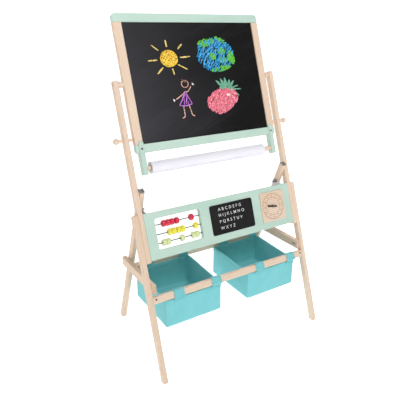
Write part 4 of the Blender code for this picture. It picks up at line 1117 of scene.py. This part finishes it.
        # Rounded cross-section of the strap: wide along X, thin along the line's normal.
        section = []
        wide = (xb - xa) / 2
        for x, t in ((-1, -0.35), (-1, 0.35), (-0.965, 1.0), (-0.5, 1.0), (0, 1.06), (0.5, 1.0), (0.965, 1.0), (1, 0.35), (1, -0.35), (0.965, -1.0), (0.5, -1.0), (0, -0.94), (-0.5, -1.0), (-0.965, -1.0)):
            section.append((x * wide, t * half))
        rings = []
        for i, p in enumerate(line):
            ahead = (line[min(n - 1, i + 1)] - line[max(0, i - 1)]).normalized()
            normal = Vector((0, ahead.z, -ahead.y))
            waver = noise.noise(Vector((i * 0.21, self.seed + xa * 40, 2.0 if back else 0.0))) * 0.0005
            rings.append([p + Vector(((xa + xb) / 2 + x + waver, 0, 0)) + normal * (t + 0.00015 * math.sin(x * 520 + i * 0.25)) for x, t in section])
        skin(bm, rings)
        return object_of(name, bm, CANVAS_HEM, "stand", angle=60)

    def stitch(self, bm, a, b, out):
        """One thread stitch from a to b, bedded in the cloth."""
        d = (b - a)
        length = d.length
        d.normalize()
        side = d.cross(out).normalized()
        rings = []
        for s, k in ((0.0, 0.25), (0.22, 0.9), (0.5, 1.0), (0.78, 0.9), (1.0, 0.25)):
            centre = a + d * (length * s) - out * (0.00018 * (1 - k))
            rings.append([centre + (side * math.cos(q) + out * math.sin(q)) * (0.00027 * k) for q in (0.0, math.pi / 3, 2 * math.pi / 3, math.pi, 4.5 * math.pi / 3)])
        skin(bm, rings)

    def stitches(self):
        bm = bmesh.new()
        height = BIN_TOP - BIN_LOW - 0.0065
        # Along the hem, outside and inside.
        for side_, off in ((1, 0.00182), (-1, 0.00182)):
            pts = []
            for place in self.around:
                p, n = self.at(place, 0.0105 / height)
                pts.append((p + n * (side_ * off), n * side_))
            run, pitch, dash = 0.0, 0.0044, 0.0030
            total = len(pts)
            for k in range(total):
                (p, n), (q, m) = pts[k], pts[(k + 1) % total]
                seg = (q - p).length
                if seg < 1e-6:
                    continue
                while run < seg:
                    a = p.lerp(q, run / seg)
                    b = p.lerp(q, min(1.0, (run + dash) / seg))
                    if (b - a).length > 0.0012:
                        self.stitch(bm, a, b, n.lerp(m, run / seg).normalized())
                    run += pitch
                run -= seg
        # A sewn box on the foot of each loop.
        for xa, xb, back in self.loops():
            out = Vector((0, 1 if back else -1, 0))
            wall = BIN_Y[1] - CLOTH_T / 2 if back else BIN_Y[0] + CLOTH_T / 2
            y = wall + out.y * (0.0028 + 0.00070)
            z0, z1 = 0.2062, 0.2140
            corners = [Vector((xa + 0.003, y, z0)), Vector((xb - 0.003, y, z0)), Vector((xb - 0.003, y, z1)), Vector((xa + 0.003, y, z1))]
            legs = list(zip(corners, corners[1:] + corners[:1])) + [(corners[0], corners[2]), (corners[1], corners[3])]
            for a, b in legs:
                length = (b - a).length
                count = max(1, int(length / 0.0032))
                for k in range(count):
                    p, q = a.lerp(b, (k + 0.12) / count), a.lerp(b, (k + 0.88) / count)
                    self.stitch(bm, p, q, out)
        return object_of(f"{self.name}_stitching", bm, THREAD, "stand", angle=60)

    def loops(self):
        made = []
        for back in (False, True):
            made.append((self.x0 + 0.0265, self.x0 + 0.0265 + LOOP_W, back))
            made.append((self.x1 - 0.0040 - LOOP_W, self.x1 - 0.0040, back))
        return made

    def build(self, node):
        body = self.shell()
        pieces = [self.hem(), self.stitches()]
        for number, (xa, xb, back) in enumerate(self.loops(), 1):
            pieces.append(self.loop(f"{self.name}_loop_{number}", xa, xb, back))
        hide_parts(node)


Bin("bin_left", -0.2455, -0.0495, 3.0).build("bin_left")
Bin("bin_right", 0.0560, 0.2520, 9.0).build("bin_right")

# ------------------------------------------------------------------ floor and backdrop
sweep = bmesh.new()
rings = []
profile = [(-7.0, 0.0), (-2.0, 0.0), (1.6, 0.0)]
profile += [(1.6 + 1.6 * math.sin(k * math.pi / 32), 1.6 - 1.6 * math.cos(k * math.pi / 32)) for k in range(1, 17)]
profile += [(3.2, 4.5)]
for y, z in profile:
    rings.append([Vector((x, y, z)) for x in (-8.0, -2.5, 2.5, 8.0)])
skin(sweep, rings, close_around=False, cap=False)
mesh = bpy.data.meshes.new("studio_sweep")
sweep.to_mesh(mesh)
sweep.free()
for polygon in mesh.polygons:
    polygon.use_smooth = True
g = Graph("studio_white")
tone = g.noise(g.point, 1.3, 2.0)
g.set(Base_Color=g.mix(tone, (0.93, 0.93, 0.93, 1), (0.95, 0.95, 0.95, 1)))
g.shader.inputs["Roughness"].default_value = 0.95
g.shader.inputs["Specular IOR Level"].default_value = 0.0
g.shader.inputs["Emission Color"].default_value = (1, 1, 1, 1)
g.shader.inputs["Emission Strength"].default_value = 0.60
mesh.materials.append(g.material)
floor = bpy.data.objects.new("studio_sweep", mesh)
scene.collection.objects.link(floor)

# ------------------------------------------------------------------ light
world = bpy.data.worlds.new("studio")
world.use_nodes = True
tree = world.node_tree
back_light = tree.nodes["Background"]
coord = tree.nodes.new("ShaderNodeTexCoord")
toward = tree.nodes.new("ShaderNodeVectorMath")
toward.operation = "DOT_PRODUCT"
toward.inputs[1].default_value = Vector((0.62, -0.62, 0.48)).normalized()
fade = tree.nodes.new("ShaderNodeMapRange")
fade.inputs["From Min"].default_value = 0.25
fade.inputs["From Max"].default_value = 0.95
fade.inputs["To Min"].default_value = 0.50
fade.inputs["To Max"].default_value = 0.18
tree.links.new(coord.outputs["Generated"], toward.inputs[0])
tree.links.new(toward.outputs["Value"], fade.inputs["Value"])
tree.links.new(fade.outputs[0], back_light.inputs["Strength"])
back_light.inputs["Color"].default_value = (1.0, 1.0, 1.0, 1.0)
scene.world = world


def area(name, place, target, size, watts, colour=(1, 1, 1)):
    data = bpy.data.lights.new(name, "AREA")
    data.shape = "DISK"
    data.size = size
    data.energy = watts
    data.color = colour
    lamp = bpy.data.objects.new(name, data)
    scene.collection.objects.link(lamp)
    lamp.location = place
    lamp.rotation_euler = (Vector(target) - Vector(place)).to_track_quat("-Z", "Y").to_euler()
    return lamp


area("key", (0.05, -1.95, 2.50), (0.0, 0.0, 0.5), 1.0, 39)
area("fill", (-1.7, -1.7, 1.1), (0.0, 0.0, 0.4), 1.6, 3)
